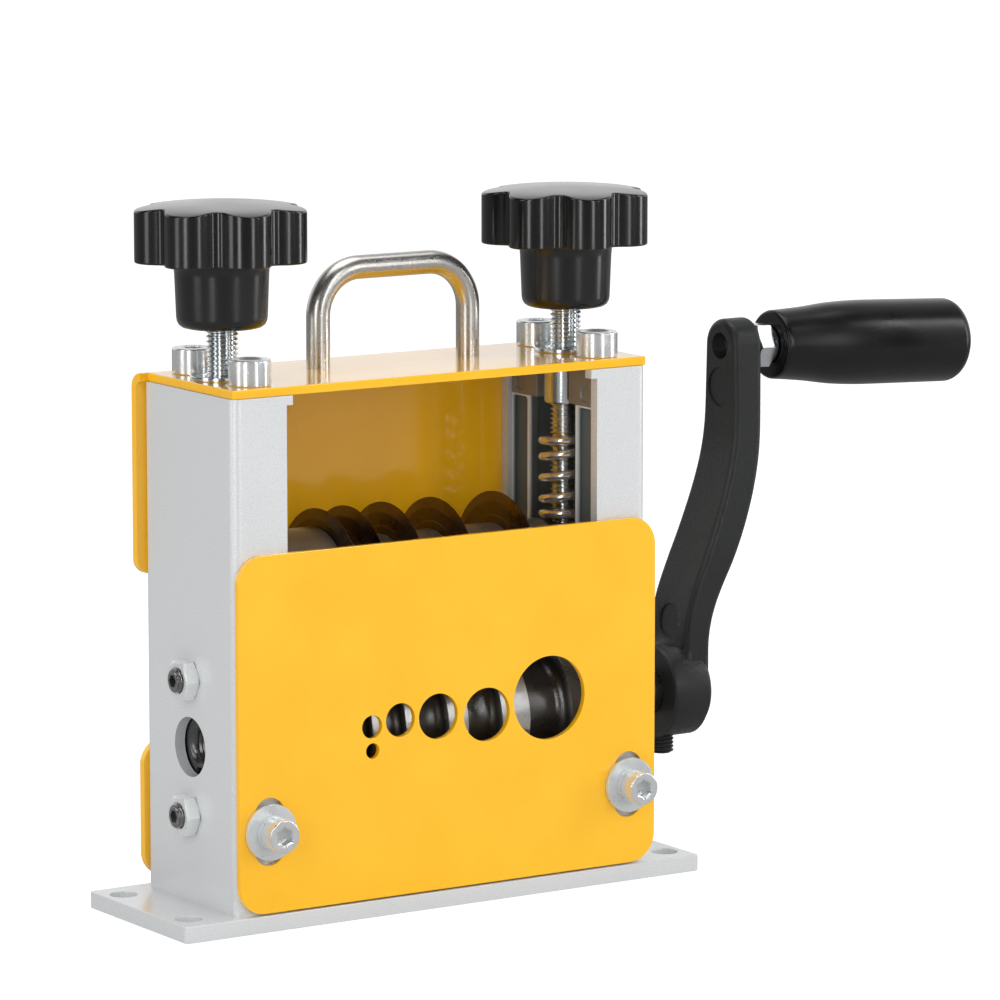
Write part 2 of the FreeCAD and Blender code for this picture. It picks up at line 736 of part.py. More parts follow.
def spring():
    """A compression spring with closed end coils, standing on the slider."""
    centre_r = spring_r - spring_wire / 2
    start = slider_top + spring_wire / 2 + seat_gap / 2
    rise = spring_top - spring_wire / 2 - start
    middle_turns = spring_turns - 2
    middle_pitch = (rise - 2 * spring_end_pitch) / middle_turns
    sections = []
    for step in range(spring_turns * spring_steps + 1):
        turn = step / spring_steps
        end_turns = min(turn, 1) + max(turn - middle_turns - 1, 0)
        height = start + spring_end_pitch * end_turns + middle_pitch * (turn - end_turns)
        angle = 2 * math.pi * turn
        out = Vector(math.cos(angle), math.sin(angle), 0)
        middle = Vector(rod_x, 0, height) + out * centre_r
        corners = []
        for corner in range(spring_sides + 1):
            around = 2 * math.pi * (corner + 0.5) / spring_sides
            corners.append(middle + (out * math.cos(around) + Z * math.sin(around)) * (spring_wire / 2))
        sections.append(Part.makePolygon(corners))
    return Part.makeLoft(sections, True, True)


def knob(x, bottom, valley_turn):
    """A star knob: lobes joined by tangent hollows, a low dome on top and a tapered hub below."""
    step = 2 * math.pi / knob_lobes
    lobe_centre = knob_r - knob_lobe_r
    reach = knob_valley_r - knob_lobe_r
    hollow_centre = (lobe_centre ** 2 - reach ** 2) / (2 * (lobe_centre * math.cos(step / 2) - reach))
    hollow_r = hollow_centre - knob_valley_r
    share = knob_lobe_r / (knob_lobe_r + hollow_r)
    skirt_bottom = bottom + knob_hub
    outline = []

    def at(radius, angle):
        return Vector(x + radius * math.cos(angle), radius * math.sin(angle), skirt_bottom)

    for index in range(knob_lobes):
        hollow = math.radians(valley_turn) + index * step
        lobe = hollow + step / 2
        before = at(lobe_centre, lobe - step)
        after = at(lobe_centre, lobe)
        middle = at(hollow_centre, hollow)
        following = at(hollow_centre, hollow + step)
        hollow_start = before + (middle - before) * share
        hollow_end = after + (middle - after) * share
        lobe_end = after + (following - after) * share
        outline.append(Part.Arc(hollow_start, at(knob_valley_r, hollow), hollow_end).toShape())
        outline.append(Part.Arc(hollow_end, at(knob_r, lobe), lobe_end).toShape())
    top = knob_skirt + knob_shoulder
    star = Part.Face(Part.Wire(outline)).extrude(Z * (top + knob_dome))
    body = turned([(0, 0), (0, knob_r - knob_edge), (knob_edge, knob_r), (knob_skirt - knob_edge, knob_r),
                   (knob_skirt + knob_edge, knob_r - knob_edge), (top, knob_valley_r), (top + knob_dome, 0)],
                  Vector(x, 0, skirt_bottom), Z)
    star = star.common(body)
    foot_r = knob_hub_foot_r - knob_hub_edge
    hub = turned([(0, 0), (0, foot_r), (knob_hub_edge * 0.3, foot_r + knob_hub_edge * 0.7),
                  (knob_hub_edge, knob_hub_foot_r), (knob_hub + 1, knob_hub_r), (knob_hub + 1, 0)],
                 Vector(x, 0, bottom), Z)
    bore = rod_along_z(rod_r + running_gap, x, 0, (bottom, skirt_bottom + knob_skirt - knob_bore_cover + 0.2))
    return star.fuse(hub).cut(bore)


# ---- Blade spindle and the sliders that carry it ----

def right_slider():
    """A block between the guides, bored for the spindle's bush, with a pocket for the rod's head."""
    half = guide_slot_half - slider_side_gap
    slider = block((slider_inner_x, column_inner_x - seat_gap), (-half, half), (slider_bottom, slider_top))
    bush_outer_r = journal_r + running_gap + blade_bush_wall + running_gap / 2
    slider = slider.cut(rod_along_x(bush_outer_r, (slider_inner_x, column_inner_x), 0, blade_z))
    roof = slider_top - slider_pocket_roof
    floor = head_top() - rod_head - 2 * running_gap
    for radius, z in ((rod_head_r + 0.2, (floor, roof)), (rod_neck_r + 0.2, (roof, slider_top))):
        slider = slider.cut(rod_along_z(radius, rod_x, 0, z))
        slider = slider.cut(block((slider_inner_x, rod_x), (-radius, radius), z))
    return slider


def right_blade_bush():
    outer_r = journal_r + running_gap + blade_bush_wall
    length = column_inner_x - seat_gap - slider_inner_x
    return turned([(-blade_bush_flange, journal_r + running_gap), (-blade_bush_flange, blade_bush_flange_r),
                   (0, blade_bush_flange_r), (0, outer_r), (length, outer_r), (length, journal_r + running_gap)],
                  Vector(slider_inner_x, 0, blade_z), X)


def blade_shaft():
    return turned([(-journal_end_x, 0), (-journal_end_x, journal_r - 0.5), (0.5 - journal_end_x, journal_r),
                   (-spindle_half, journal_r), (-spindle_half, shaft_r), (spindle_half, shaft_r),
                   (spindle_half, journal_r), (journal_end_x - 0.5, journal_r), (journal_end_x, journal_r - 0.5),
                   (journal_end_x, 0)], Vector(0, 0, blade_z), X)


def ring_on_spindle(radius, start, end, edge):
    bore = shaft_r + running_gap
    return turned([(start, bore), (start, radius - edge), (start + edge, radius), (end - edge, radius),
                   (end, radius - edge), (end, bore)], Vector(0, 0, blade_z), X)


def blade(x):
    """A round blade, bevelled on both sides to its cutting edge."""
    bore = shaft_r + running_gap
    half = blade_thick / 2
    tip = blade_edge / 2
    shoulder_r = blade_r - blade_bevel
    return turned([(-half, bore), (-half, shoulder_r), (-tip, blade_r), (tip, blade_r), (half, shoulder_r),
                   (half, bore)], Vector(x, 0, blade_z), X)


def spacers():
    rings = []
    for index in range(len(blade_x) - 1):
        start = blade_x[index] + blade_thick / 2
        end = blade_x[index + 1] - blade_thick / 2
        rings.append(ring_on_spindle(spacer_r, start, end, 0.4))
    return rings


# ---- Feed roller on its shaft ----

def feed_roller():
    """A turned roller: a groove under each blade, square at the blade and hollow at the far wall."""
    hub_end = bearing_inner_x - roller_end_gap
    bore = shaft_r + running_gap
    slack = groove_fillet * (1 - math.sqrt(0.5))
    outline = [(-hub_end, bore), (-hub_end, roller_hub_r), (roller_left, roller_hub_r),
               (roller_left, land_r - land_edge), (roller_left + land_edge, land_r)]
    for centre, width in zip(blade_x, groove_widths):
        start = centre - groove_lead
        end = start + width
        outline += [(start - land_edge, land_r), (start, land_r - land_edge), (start, groove_r),
                    (end - groove_fillet, groove_r), (end - slack, groove_r + slack), (end, groove_r + groove_fillet),
                    (end, land_r - land_edge), (end + land_edge, land_r)]
    outline += [(roller_right - land_edge, land_r), (roller_right, land_r - land_edge),
                (roller_right, roller_hub_r), (hub_end, roller_hub_r), (hub_end, bore)]
    roller = turned(outline, Vector(0, 0, feed_z), X)
    half = key_width / 2 + running_gap
    keyway = block((-hub_end, hub_end), (-half, half), (feed_z, feed_z + key_top() + running_gap))
    return roller.cut(keyway)


def key_top():
    """Height of the key's top over the shaft's axis."""
    return shaft_r - key_height / 2 + key_height


def feed_shaft():
    shaft = turned([(feed_shaft_left, 0), (feed_shaft_left, shaft_r - 0.6), (feed_shaft_left + 0.6, shaft_r),
                    (feed_shaft_right - 0.6, shaft_r), (feed_shaft_right, shaft_r - 0.6), (feed_shaft_right, 0)],
                   Vector(0, 0, feed_z), X)
    bore_x = (feed_shaft_left - 1, feed_shaft_left + shaft_bore_deep)
    shaft = shaft.cut(rod_along_x(shaft_bore_r, bore_x, 0, feed_z))
    half_width = key_width / 2 + running_gap
    half_length = key_length / 2 + running_gap
    floor = feed_z + shaft_r - key_height / 2 - running_gap
    shaft = shaft.cut(block((-half_length, half_length), (-half_width, half_width), (floor, feed_z + shaft_r)))
    for x in circlip_places():
        groove = rod_along_x(shaft_r + 1, x, 0, feed_z)
        shaft = shaft.cut(groove.cut(rod_along_x(shaft_r - circlip_groove, x, 0, feed_z)))
    return shaft


def feed_key():
    half = key_length / 2
    base = feed_z + shaft_r - key_height / 2
    return block((-half, half), (-key_width / 2, key_width / 2), (base, base + key_height))


def circlip_places():
    """Both circlips lie just outside the bearings."""
    start = bearing_outer_x + running_gap
    return ((-start - circlip_thick, -start), (start, start + circlip_thick))


def circlip(x):
    inset = (x[0] + circlip_side_gap, x[1] - circlip_side_gap)
    ring = rod_along_x(circlip_r, inset, 0, feed_z)
    ring = ring.cut(rod_along_x(shaft_r - circlip_groove + running_gap, inset, 0, feed_z))
    return ring.cut(block(inset, (-circlip_gap, circlip_gap), (feed_z - circlip_r - 1, feed_z)))


# ---- Crank: arm, clamp screw, spindle, nut and grip ----

def crank_arm():
    """A cast arm with an S-shaped side and a round hub and tip."""
    tip_top = arm_tip_z + arm_tip_r
    inner = Part.BSplineCurve()
    inner.interpolate([Vector(x, 0, z) for x, z in arm_inner], InitialTangent=Z, FinalTangent=Z)
    lean = Vector(arm_tip_outer_x - arm_outer[-1][0], 0, arm_tip_z - arm_outer[-1][1]).normalize()
    outer = Part.BSplineCurve()
    outer.interpolate([Vector(x, 0, z) for x, z in arm_outer], InitialTangent=Z, FinalTangent=lean)
    inner_foot = Vector(arm_inner[0][0], 0, feed_z)
    outer_foot = Vector(arm_outer[0][0], 0, feed_z)
    inner_tip = Vector(arm_inner[-1][0], 0, tip_top)
    outer_tip = Vector(arm_outer[-1][0], 0, arm_outer[-1][1]) + lean * (tip_top - arm_outer[-1][1])
    side = Part.Wire([Part.makeLine(inner_foot, inner.StartPoint), inner.toShape(),
                      Part.makeLine(inner.EndPoint, inner_tip), Part.makeLine(inner_tip, outer_tip),
                      Part.makeLine(outer_tip, outer.EndPoint), outer.toShape(),
                      Part.makeLine(outer.StartPoint, outer_foot), Part.makeLine(outer_foot, inner_foot)])
    arm = Part.Face(side).extrude(Y * arm_width)
    arm.translate(Y * (-arm_width / 2))
    reach = (hub_inner_x, arm_tip_outer_x + arm_tip_r)
    foot_half = arm_width / 2
    front = [Vector(reach[0], -foot_half, feed_z - 1), Vector(reach[0], foot_half, feed_z - 1),
             Vector(reach[0], foot_half, arm_outer[1][1]), Vector(reach[0], arm_tip_r, arm_tip_z),
             Vector(reach[0], -arm_tip_r, arm_tip_z), Vector(reach[0], -foot_half, arm_outer[1][1])]
    front = Part.Face(Part.makePolygon(front + front[:1])).extrude(X * (reach[1] - reach[0]))
    front = front.fuse(rod_along_x(arm_tip_r, reach, 0, arm_tip_z))
    arm = arm.common(front.removeSplitter())
    long_edges = [edge for edge in arm.Edges
                  if edge.BoundBox.ZMin > feed_z - 0.1 and edge.BoundBox.XLength + edge.BoundBox.ZLength > 1
                  and abs(edge.CenterOfMass.y) > 0.5 or edge.BoundBox.ZMax > tip_top - 0.1]
    arm = arm.makeFillet(arm_edge_r, long_edges)
    hub = turned([(0, 0), (0, hub_r - hub_edge_r / 2), (hub_edge_r / 2, hub_r),
                  (hub_outer_x - hub_inner_x - hub_edge_r, hub_r), (hub_outer_x - hub_inner_x, hub_r - hub_edge_r),
                  (hub_outer_x - hub_inner_x, 0)], Vector(hub_inner_x, 0, feed_z), X)
    arm = arm.fuse(hub)
    arm = arm.cut(rod_along_x(shaft_r + running_gap, (hub_inner_x, hub_outer_x + 3), 0, feed_z))
    arm = arm.cut(rod_along_z(clamp_bolt_r + running_gap, clamp_screw_x, 0, (feed_z - hub_r - 1, feed_z)))
    face_x = arm_inner[-1][0]
    spindle_hole = rod_along_x(spindle_r + running_gap, (face_x - 2, arm_tip_outer_x + 2), 0, arm_tip_z)
    arm = arm.cut(on_grip_axis(spindle_hole))
    arm = arm.cut(rod_along_x(tip_hole_r, (face_x - 1, face_x + tip_hole_deep), 0, arm_tip_z))
    arm = arm.cut(rod_along_x(gate_mark_r, (face_x - 1, face_x + gate_mark_deep), 0, gate_mark_z))
    marked, along = inner.getD1(inner.parameter(Vector(arm_inner[0][0], 0, foot_mark_z)))
    inward = Vector(along.z, 0, -along.x).normalize()
    mark = Part.makeCylinder(foot_mark_r, foot_mark_deep + 3, marked - inward * 3, inward)
    return arm.cut(mark)


def crank_clamp_screw():
    top = feed_z - shaft_r - running_gap
    screw = turned([(clamp_bolt_end, 0), (clamp_bolt_end, clamp_bolt_r - 0.5), (clamp_bolt_end + 0.5, clamp_bolt_r),
                    (top - 1, clamp_bolt_r), (top, clamp_bolt_r - 1), (top, 0)], Vector(clamp_screw_x, 0, 0), Z)
    return screw.cut(hexagon(clamp_bolt_key, clamp_bolt_socket, Vector(clamp_screw_x, 0, clamp_bolt_end), Z, X))


def on_grip_axis(shape):
    """Tips a piece drawn along X at the tip's height onto the drooping grip axis."""
    tipped = shape.copy()
    tipped.rotate(Vector(arm_inner[-1][0], 0, arm_tip_z), Y, grip_droop)
    return tipped


def grip_spindle():
    start = arm_inner[-1][0] + tip_hole_deep + 0.2
    shoulder = nut_start + nut_thick
    return on_grip_axis(turned([(start, 0), (start, spindle_r), (shoulder, spindle_r), (shoulder, spindle_shoulder_r),
                                (shoulder + spindle_shoulder, spindle_shoulder_r),
                                (shoulder + spindle_shoulder, spindle_r), (spindle_end, spindle_r),
                                (spindle_end, 0)], Vector(0, 0, arm_tip_z), X))


def grip_nut():
    nut = hex_nut(nut_af, nut_thick, spindle_r + running_gap, Vector(nut_start, 0, arm_tip_z), X, Y * -1)
    return on_grip_axis(nut)


def crank_grip():
    """A turned grip that swells towards its rounded end, bored for the spindle."""
    centre = Vector(0, 0, arm_tip_z)
    swell = [centre + X * x + Z * radius for x, radius in grip_outline]
    near = grip_outline[0]
    far = grip_outline[-1]
    bore = spindle_r + grip_bore_gap
    bore_end = spindle_end + 1
    near_face = centre + X * grip_start + Z * (near[1] - near[0] + grip_start)
    cap_r = far[1] - grip_end_r
    corner = centre + X * (far[0] + grip_end_r * math.sqrt(0.5)) + Z * (cap_r + grip_end_r * math.sqrt(0.5))
    cap = centre + X * grip_end + Z * cap_r
    round_end = Part.Arc(swell[-1], corner, cap).toShape()
    corners = [cap, centre + X * grip_end, centre + X * bore_end, centre + X * bore_end + Z * bore,
               centre + X * grip_start + Z * bore, near_face] + swell
    lines = [Part.makeLine(first, second) for first, second in zip(corners[:-1], corners[1:])]
    grip = Part.Face(Part.Wire([round_end] + lines)).revolve(centre, X, 360)
    return on_grip_axis(grip)


# ---- Write one STEP file per node ----

os.makedirs("parts", exist_ok=True)
save("base_plate", base_plate())
save("base_screws", *[base_screw(x, y) for x in (-base_screw_x, base_screw_x)
                      for y in (-base_screw_y, base_screw_y)])
save("left_column", with_clamp_hole(mirrored(right_column()), clamp_left_x))
save("right_column", with_clamp_hole(right_column(), clamp_right_x))
for name, piece in (("bearing_housing", right_bearing_housing()), ("drive_bearing", right_drive_bearing()),
                    ("top_block", right_top_block()), ("threaded_bush", threaded_bush()),
                    ("spring", spring()), ("slider", right_slider()), ("blade_bush", right_blade_bush())):
    save("right_" + name, piece)
    save("left_" + name, mirrored(piece))
rails = right_slide_rails()
save("right_slide_rails", *rails)
save("left_slide_rails", *[mirrored(rail) for rail in rails])
save("bearing_set_screws", *[set_screw(side, z) for side in (-1, 1) for z in set_screw_z])
save("bearing_lock_nuts", *[lock_nut(side, z) for side in (-1, 1) for z in set_screw_z])
save("top_cover", top_cover())
save("top_cover_screws", *cover_screws())
save("carry_handle", carry_handle())
save("handle_screws", *handle_screws())
save("rear_lower_guard", lower_guard())
save("rear_guard_screws", *guard_screws())
save("front_guide_plate", guide_plate())
save("guide_plate_screws", clamp_screw(clamp_left_x), clamp_screw(clamp_right_x))
save("guide_plate_washers", flat_washer(clamp_left_x), flat_washer(clamp_right_x))
save("guide_plate_spring_washers", spring_washer(clamp_left_x), spring_washer(clamp_right_x))
save("left_knob", knob(-rod_x, left_knob_bottom, left_knob_turn))
save("right_knob", knob(rod_x, right_knob_bottom, right_knob_turn))
save("left_adjusting_rod", mirrored(adjusting_rod(left_knob_bottom)))
save("right_adjusting_rod", adjusting_rod(right_knob_bottom))
save("blade_shaft", blade_shaft())
for number, x in enumerate(blade_x, 1):
    save("blade_" + str(number), blade(x))
save("blade_spacers", *spacers())
save("left_blade_collar", ring_on_spindle(left_collar_r, -spindle_half, blade_x[0] - blade_thick / 2, 0.6))
save("right_blade_collar", ring_on_spindle(spacer_r, blade_x[-1] + blade_thick / 2, spindle_half, 0.6))
save("feed_roller", feed_roller())
save("feed_shaft", feed_shaft())
save("feed_key", feed_key())
save("shaft_circlips", *[circlip(x) for x in circlip_places()])
save("crank_arm", crank_arm())
save("crank_clamp_screw", crank_clamp_screw())
save("grip_spindle", grip_spindle())
save("grip_lock_nut", grip_nut())
save("crank_grip", crank_grip())
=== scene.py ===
import bmesh
import bpy
import json
import math
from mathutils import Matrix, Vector

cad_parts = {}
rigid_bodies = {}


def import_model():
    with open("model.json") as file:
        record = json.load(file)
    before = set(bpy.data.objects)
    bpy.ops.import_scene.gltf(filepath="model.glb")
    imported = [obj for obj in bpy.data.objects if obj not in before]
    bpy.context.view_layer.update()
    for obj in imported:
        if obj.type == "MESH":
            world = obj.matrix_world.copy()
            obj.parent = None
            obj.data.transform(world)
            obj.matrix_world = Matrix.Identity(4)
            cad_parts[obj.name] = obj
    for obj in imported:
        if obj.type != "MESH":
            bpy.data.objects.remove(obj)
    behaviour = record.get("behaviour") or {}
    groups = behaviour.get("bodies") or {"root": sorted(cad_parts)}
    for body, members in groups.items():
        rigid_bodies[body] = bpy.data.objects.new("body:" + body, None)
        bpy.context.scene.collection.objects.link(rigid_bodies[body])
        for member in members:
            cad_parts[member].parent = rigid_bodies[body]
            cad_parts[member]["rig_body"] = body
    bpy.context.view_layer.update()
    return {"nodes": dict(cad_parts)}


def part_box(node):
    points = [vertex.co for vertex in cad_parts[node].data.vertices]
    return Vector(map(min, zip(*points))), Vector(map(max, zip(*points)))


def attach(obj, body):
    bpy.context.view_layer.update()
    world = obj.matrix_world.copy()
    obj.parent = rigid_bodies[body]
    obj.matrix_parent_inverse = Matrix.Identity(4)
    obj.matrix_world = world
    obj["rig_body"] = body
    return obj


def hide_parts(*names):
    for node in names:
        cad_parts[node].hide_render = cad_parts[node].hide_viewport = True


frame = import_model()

# ---- The columns ----
# Two steel channels, folded from sheet and sprayed with a light silver paint that has a fine sparkle.
# They stand on the base plate with their open sides towards each other.


def add_piece(name, mesh):
    piece = bpy.data.objects.new(name, mesh)
    bpy.context.scene.collection.objects.link(piece)
    return piece


def smoothed(piece, angle=32):
    """Rounds a piece's shading over its eased edges, and keeps its flats flat."""
    for polygon in piece.data.polygons:
        polygon.use_smooth = True
    piece.data.set_sharp_from_angle(angle=math.radians(angle))
    level = piece.modifiers.new("even_flats", "WEIGHTED_NORMAL")
    level.keep_sharp = True
    level.weight = 80
    bpy.context.view_layer.update()
    finished = bpy.data.meshes.new_from_object(piece.evaluated_get(bpy.context.evaluated_depsgraph_get()))
    piece.modifiers.clear()
    piece.data = finished
    return piece


def fit(piece, node, material):
    """The piece stands for its node, moves where the node moves, and gets its finish."""
    piece.data.materials.clear()
    piece.data.materials.append(material)
    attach(piece, frame["nodes"][node]["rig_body"])
    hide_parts(node)
    return piece


def keep(node, material):
    """A node whose own shape is right gets its finish."""
    slots = frame["nodes"][node].data.materials
    slots.clear()
    slots.append(material)


def with_eased_edges(node, edge):
    """A copy of a node with its sharp edges rounded over, or only shaded smoothly if the edge is 0."""
    same_place, nearly_flat, corner = 2e-6, math.radians(0.6), math.radians(38)
    form = bmesh.new()
    form.from_mesh(frame["nodes"][node].data)
    bmesh.ops.remove_doubles(form, verts=form.verts, dist=same_place)
    bmesh.ops.dissolve_limit(form, angle_limit=nearly_flat, verts=form.verts, edges=form.edges)
    sharp = [e for e in form.edges if len(e.link_faces) == 2 and e.calc_face_angle() > corner]
    if edge:
        bmesh.ops.bevel(form, geom=sharp, offset=edge, segments=2, profile=0.6, affect="EDGES",
                        clamp_overlap=False)
    mesh = bpy.data.meshes.new(node + "_finished")
    form.to_mesh(mesh)
    form.free()
    return smoothed(add_piece(node + "_finished", mesh))


def start_group(name, inputs, outputs):
    """An empty group of shader nodes with named inputs and outputs."""
    group = bpy.data.node_groups.new(name, "ShaderNodeTree")
    for label, kind, value in inputs:
        socket = group.interface.new_socket(name=label, in_out="INPUT", socket_type=kind)
        socket.default_value = value
    for label, kind in outputs:
        group.interface.new_socket(name=label, in_out="OUTPUT", socket_type=kind)
    return group, group.nodes.new("NodeGroupInput"), group.nodes.new("NodeGroupOutput")


def with_values(node, **values):
    """Sets a shader node's sockets by their names, with _ for each space."""
    for label, value in values.items():
        node.inputs[label.replace("_", " ")].default_value = value
    return node


def add_node(tree, kind, **values):
    return with_values(tree.nodes.new("ShaderNode" + kind), **values)


def sprayed_coat():
    """Fine grain of a sprayed coat: soft waves for the surface, specks for a sparkle, clouds for tone."""
    group, given, result = start_group(
        "sprayed_coat",
        [("Wave size", "NodeSocketFloat", 900.0), ("Speck size", "NodeSocketFloat", 3000.0)],
        [("Height", "NodeSocketFloat"), ("Specks", "NodeSocketFloat"), ("Clouds", "NodeSocketFloat")])
    links = group.links
    place = add_node(group, "TexCoord")
    waves = add_node(group, "TexNoise", Detail=2.0)
    specks = add_node(group, "TexNoise", Detail=1.0)
    sparkle = add_node(group, "MapRange", From_Min=0.38, From_Max=0.66)
    clouds = add_node(group, "TexNoise", Scale=45.0, Detail=4.0)
    for noise in (waves, specks, clouds):
        links.new(place.outputs["Object"], noise.inputs["Vector"])
    links.new(given.outputs["Wave size"], waves.inputs["Scale"])
    links.new(given.outputs["Speck size"], specks.inputs["Scale"])
    links.new(specks.outputs["Fac"], sparkle.inputs["Value"])
    links.new(waves.outputs["Fac"], result.inputs["Height"])
    links.new(sparkle.outputs["Result"], result.inputs["Specks"])
    links.new(clouds.outputs["Fac"], result.inputs["Clouds"])
    return group


coat_grain = sprayed_coat()


def start_material(name, metallic, specular=0.5):
    material = bpy.data.materials.new(name)
    material.use_nodes = True
    shader = material.node_tree.nodes["Principled BSDF"]
    return material, with_values(shader, Metallic=metallic, Specular_IOR_Level=specular)


def place_group(material, group, **values):
    node = add_node(material.node_tree, "Group")
    node.node_tree = group
    return with_values(node, **values)


def mixed_colour(material, shader, mask, low, high):
    """Base colour that runs from one tone to another along a mask."""
    mix = add_node(material.node_tree, "Mix")
    mix.data_type = "RGBA"
    with_values(mix, A=(*low, 1), B=(*high, 1))
    material.node_tree.links.new(mask, mix.inputs["Factor"])
    material.node_tree.links.new(mix.outputs["Result"], shader.inputs["Base Color"])


def ranged_roughness(material, shader, mask, low, high):
    """Roughness that follows the middle part of a mask."""
    spread = add_node(material.node_tree, "MapRange", From_Min=0.3, From_Max=0.7, To_Min=low, To_Max=high)
    material.node_tree.links.new(mask, spread.inputs["Value"])
    material.node_tree.links.new(spread.outputs["Result"], shader.inputs["Roughness"])


def relief(material, shader, height, strength, distance):
    bump = add_node(material.node_tree, "Bump", Strength=strength, Distance=distance)
    material.node_tree.links.new(height, bump.inputs["Height"])
    material.node_tree.links.new(bump.outputs["Normal"], shader.inputs["Normal"])


silver_paint, shader = start_material("silver_paint", 0.25)
with_values(shader, Coat_Weight=0.7, Coat_Roughness=0.12)
grain = place_group(silver_paint, coat_grain, Wave_size=1400.0, Speck_size=2600.0)
mixed_colour(silver_paint, shader, grain.outputs["Specks"], (0.66, 0.68, 0.69), (0.77, 0.78, 0.79))
ranged_roughness(silver_paint, shader, grain.outputs["Clouds"], 0.33, 0.40)
relief(silver_paint, shader, grain.outputs["Height"], 0.07, 0.0001)

for node in ("left_column", "right_column"):
    keep(node, silver_paint)

# ---- The base plate and its screws ----
# A sawn and sprayed steel plate with a bolt hole near each corner. Four countersunk screws come up
# through it into the columns' floors, flush with its underside.

fit(with_eased_edges("base_plate", 0.0005), "base_plate", silver_paint)


def turned_lines():
    """Marks of a lathe about any axis: rings on a face, lines round a side, and broad stains."""
    group, given, result = start_group(
        "turned_lines",
        [("Centre", "NodeSocketVector", (0, 0, 0)), ("Axis", "NodeSocketVector", (0, 0, 1)),
         ("Fineness", "NodeSocketFloat", 3000.0)],
        [("Height", "NodeSocketFloat"), ("Stains", "NodeSocketFloat"), ("Radius", "NodeSocketFloat")])
    links = group.links

    def vector(operation, first, second=None):
        node = add_node(group, "VectorMath")
        node.operation = operation
        links.new(first, node.inputs[0])
        if second is not None:
            links.new(second, node.inputs[1])
        return node

    place = add_node(group, "TexCoord")
    offset = vector("SUBTRACT", place.outputs["Object"], given.outputs["Centre"])
    along = vector("DOT_PRODUCT", offset.outputs["Vector"], given.outputs["Axis"])
    across = vector("CROSS_PRODUCT", offset.outputs["Vector"], given.outputs["Axis"])
    radius = vector("LENGTH", across.outputs["Vector"])
    track = add_node(group, "CombineXYZ")
    links.new(along.outputs["Value"], track.inputs["X"])
    links.new(radius.outputs["Value"], track.inputs["Y"])
    lines = add_node(group, "TexNoise", Detail=3.0, Roughness=0.6)
    links.new(track.outputs["Vector"], lines.inputs["Vector"])
    links.new(given.outputs["Fineness"], lines.inputs["Scale"])
    stains = add_node(group, "TexNoise", Scale=160.0, Detail=4.0)
    links.new(place.outputs["Object"], stains.inputs["Vector"])
    links.new(lines.outputs["Fac"], result.inputs["Height"])
    links.new(stains.outputs["Fac"], result.inputs["Stains"])
    links.new(radius.outputs["Value"], result.inputs["Radius"])
    return group


lathe_marks = turned_lines()


def turned_metal(name, centre, axis, low, high, roughness, metallic=1.0, lines=0.3, fineness=3000.0):
    """A metal with lathe marks about its own axis. Its tone and gloss wander a little."""
    material, shader = start_material(name, metallic)
    marks = place_group(material, lathe_marks, Centre=centre, Axis=axis, Fineness=fineness)
    mixed_colour(material, shader, marks.outputs["Stains"], low, high)
    ranged_roughness(material, shader, marks.outputs["Stains"], roughness * 0.75, roughness * 1.35)
    relief(material, shader, marks.outputs["Height"], lines, 0.00005)
    return material


zinc_low, zinc_high = (0.62, 0.66, 0.70), (0.80, 0.82, 0.83)
keep("base_screws", turned_metal("zinc_countersunk", (0, 0, 0), (0, 0, 1), zinc_low, zinc_high, 0.3, 0.7))

# ---- Bearing housings, slide rails and top blocks ----
# Milled steel blocks, left bare, that fill each channel from the floor to the top. They show through
# the window and through the open side of the right column.


def milled_face():
    """Crossing strokes of a milling cutter, with brown blotches of handling."""
    group, given, result = start_group(
        "milled_face", [("Stroke", "NodeSocketVector", (300, 300, 4000))],
        [("Height", "NodeSocketFloat"), ("Blotches", "NodeSocketFloat")])
    links = group.links
    place = add_node(group, "TexCoord")
    stretch = add_node(group, "VectorMath")
    stretch.operation = "MULTIPLY"
    links.new(place.outputs["Object"], stretch.inputs[0])
    links.new(given.outputs["Stroke"], stretch.inputs[1])
    strokes = add_node(group, "TexNoise", Scale=1.0, Detail=3.0)
    links.new(stretch.outputs["Vector"], strokes.inputs["Vector"])
    blotches = add_node(group, "TexNoise", Scale=90.0, Detail=5.0)
    links.new(place.outputs["Object"], blotches.inputs["Vector"])
    links.new(strokes.outputs["Fac"], result.inputs["Height"])
    links.new(blotches.outputs["Fac"], result.inputs["Blotches"])
    return group


cutter_marks = milled_face()


def milled_steel(name, stroke, low, high, roughness):
    material, shader = start_material(name, 0.5)
    marks = place_group(material, cutter_marks, Stroke=stroke)
    mixed_colour(material, shader, marks.outputs["Blotches"], low, high)
    ranged_roughness(material, shader, marks.outputs["Height"], roughness * 0.8, roughness * 1.3)
    relief(material, shader, marks.outputs["Height"], 0.35, 0.00005)
    return material


slider_steel = milled_steel("slider_steel", (300, 300, 5000), (0.24, 0.25, 0.25), (0.36, 0.37, 0.36), 0.34)
rail_steel, shader = start_material("rail_steel", 0.1)
marks = place_group(rail_steel, cutter_marks, Stroke=(300, 300, 5000))
tree, links = rail_steel.node_tree, rail_steel.node_tree.links
place, across, outwards = (add_node(tree, kind) for kind in ("TexCoord", "SeparateXYZ", "Math"))
outwards.operation = "ABSOLUTE"
rim_x, pocket_x = 0.0579, 0.0588  # the rails' bright rims, and the darker faces sunk behind them
# The colour is set by position across the rails: the rims are painted near white as a painted highlight of lit
# edges, and the sunk pocket faces near black as painted shade.
rim_light_pocket_shade = add_node(tree, "MapRange", From_Min=rim_x, From_Max=pocket_x)
links.new(place.outputs["Object"], across.inputs["Vector"])
links.new(across.outputs["X"], outwards.inputs[0])
links.new(outwards.outputs["Value"], rim_light_pocket_shade.inputs["Value"])
mixed_colour(rail_steel, shader, rim_light_pocket_shade.outputs["Result"], (0.80, 0.86, 0.92), (0.12, 0.14, 0.14))
ranged_roughness(rail_steel, shader, marks.outputs["Blotches"], 0.3, 0.48)
relief(rail_steel, shader, marks.outputs["Height"], 0.3, 0.00005)
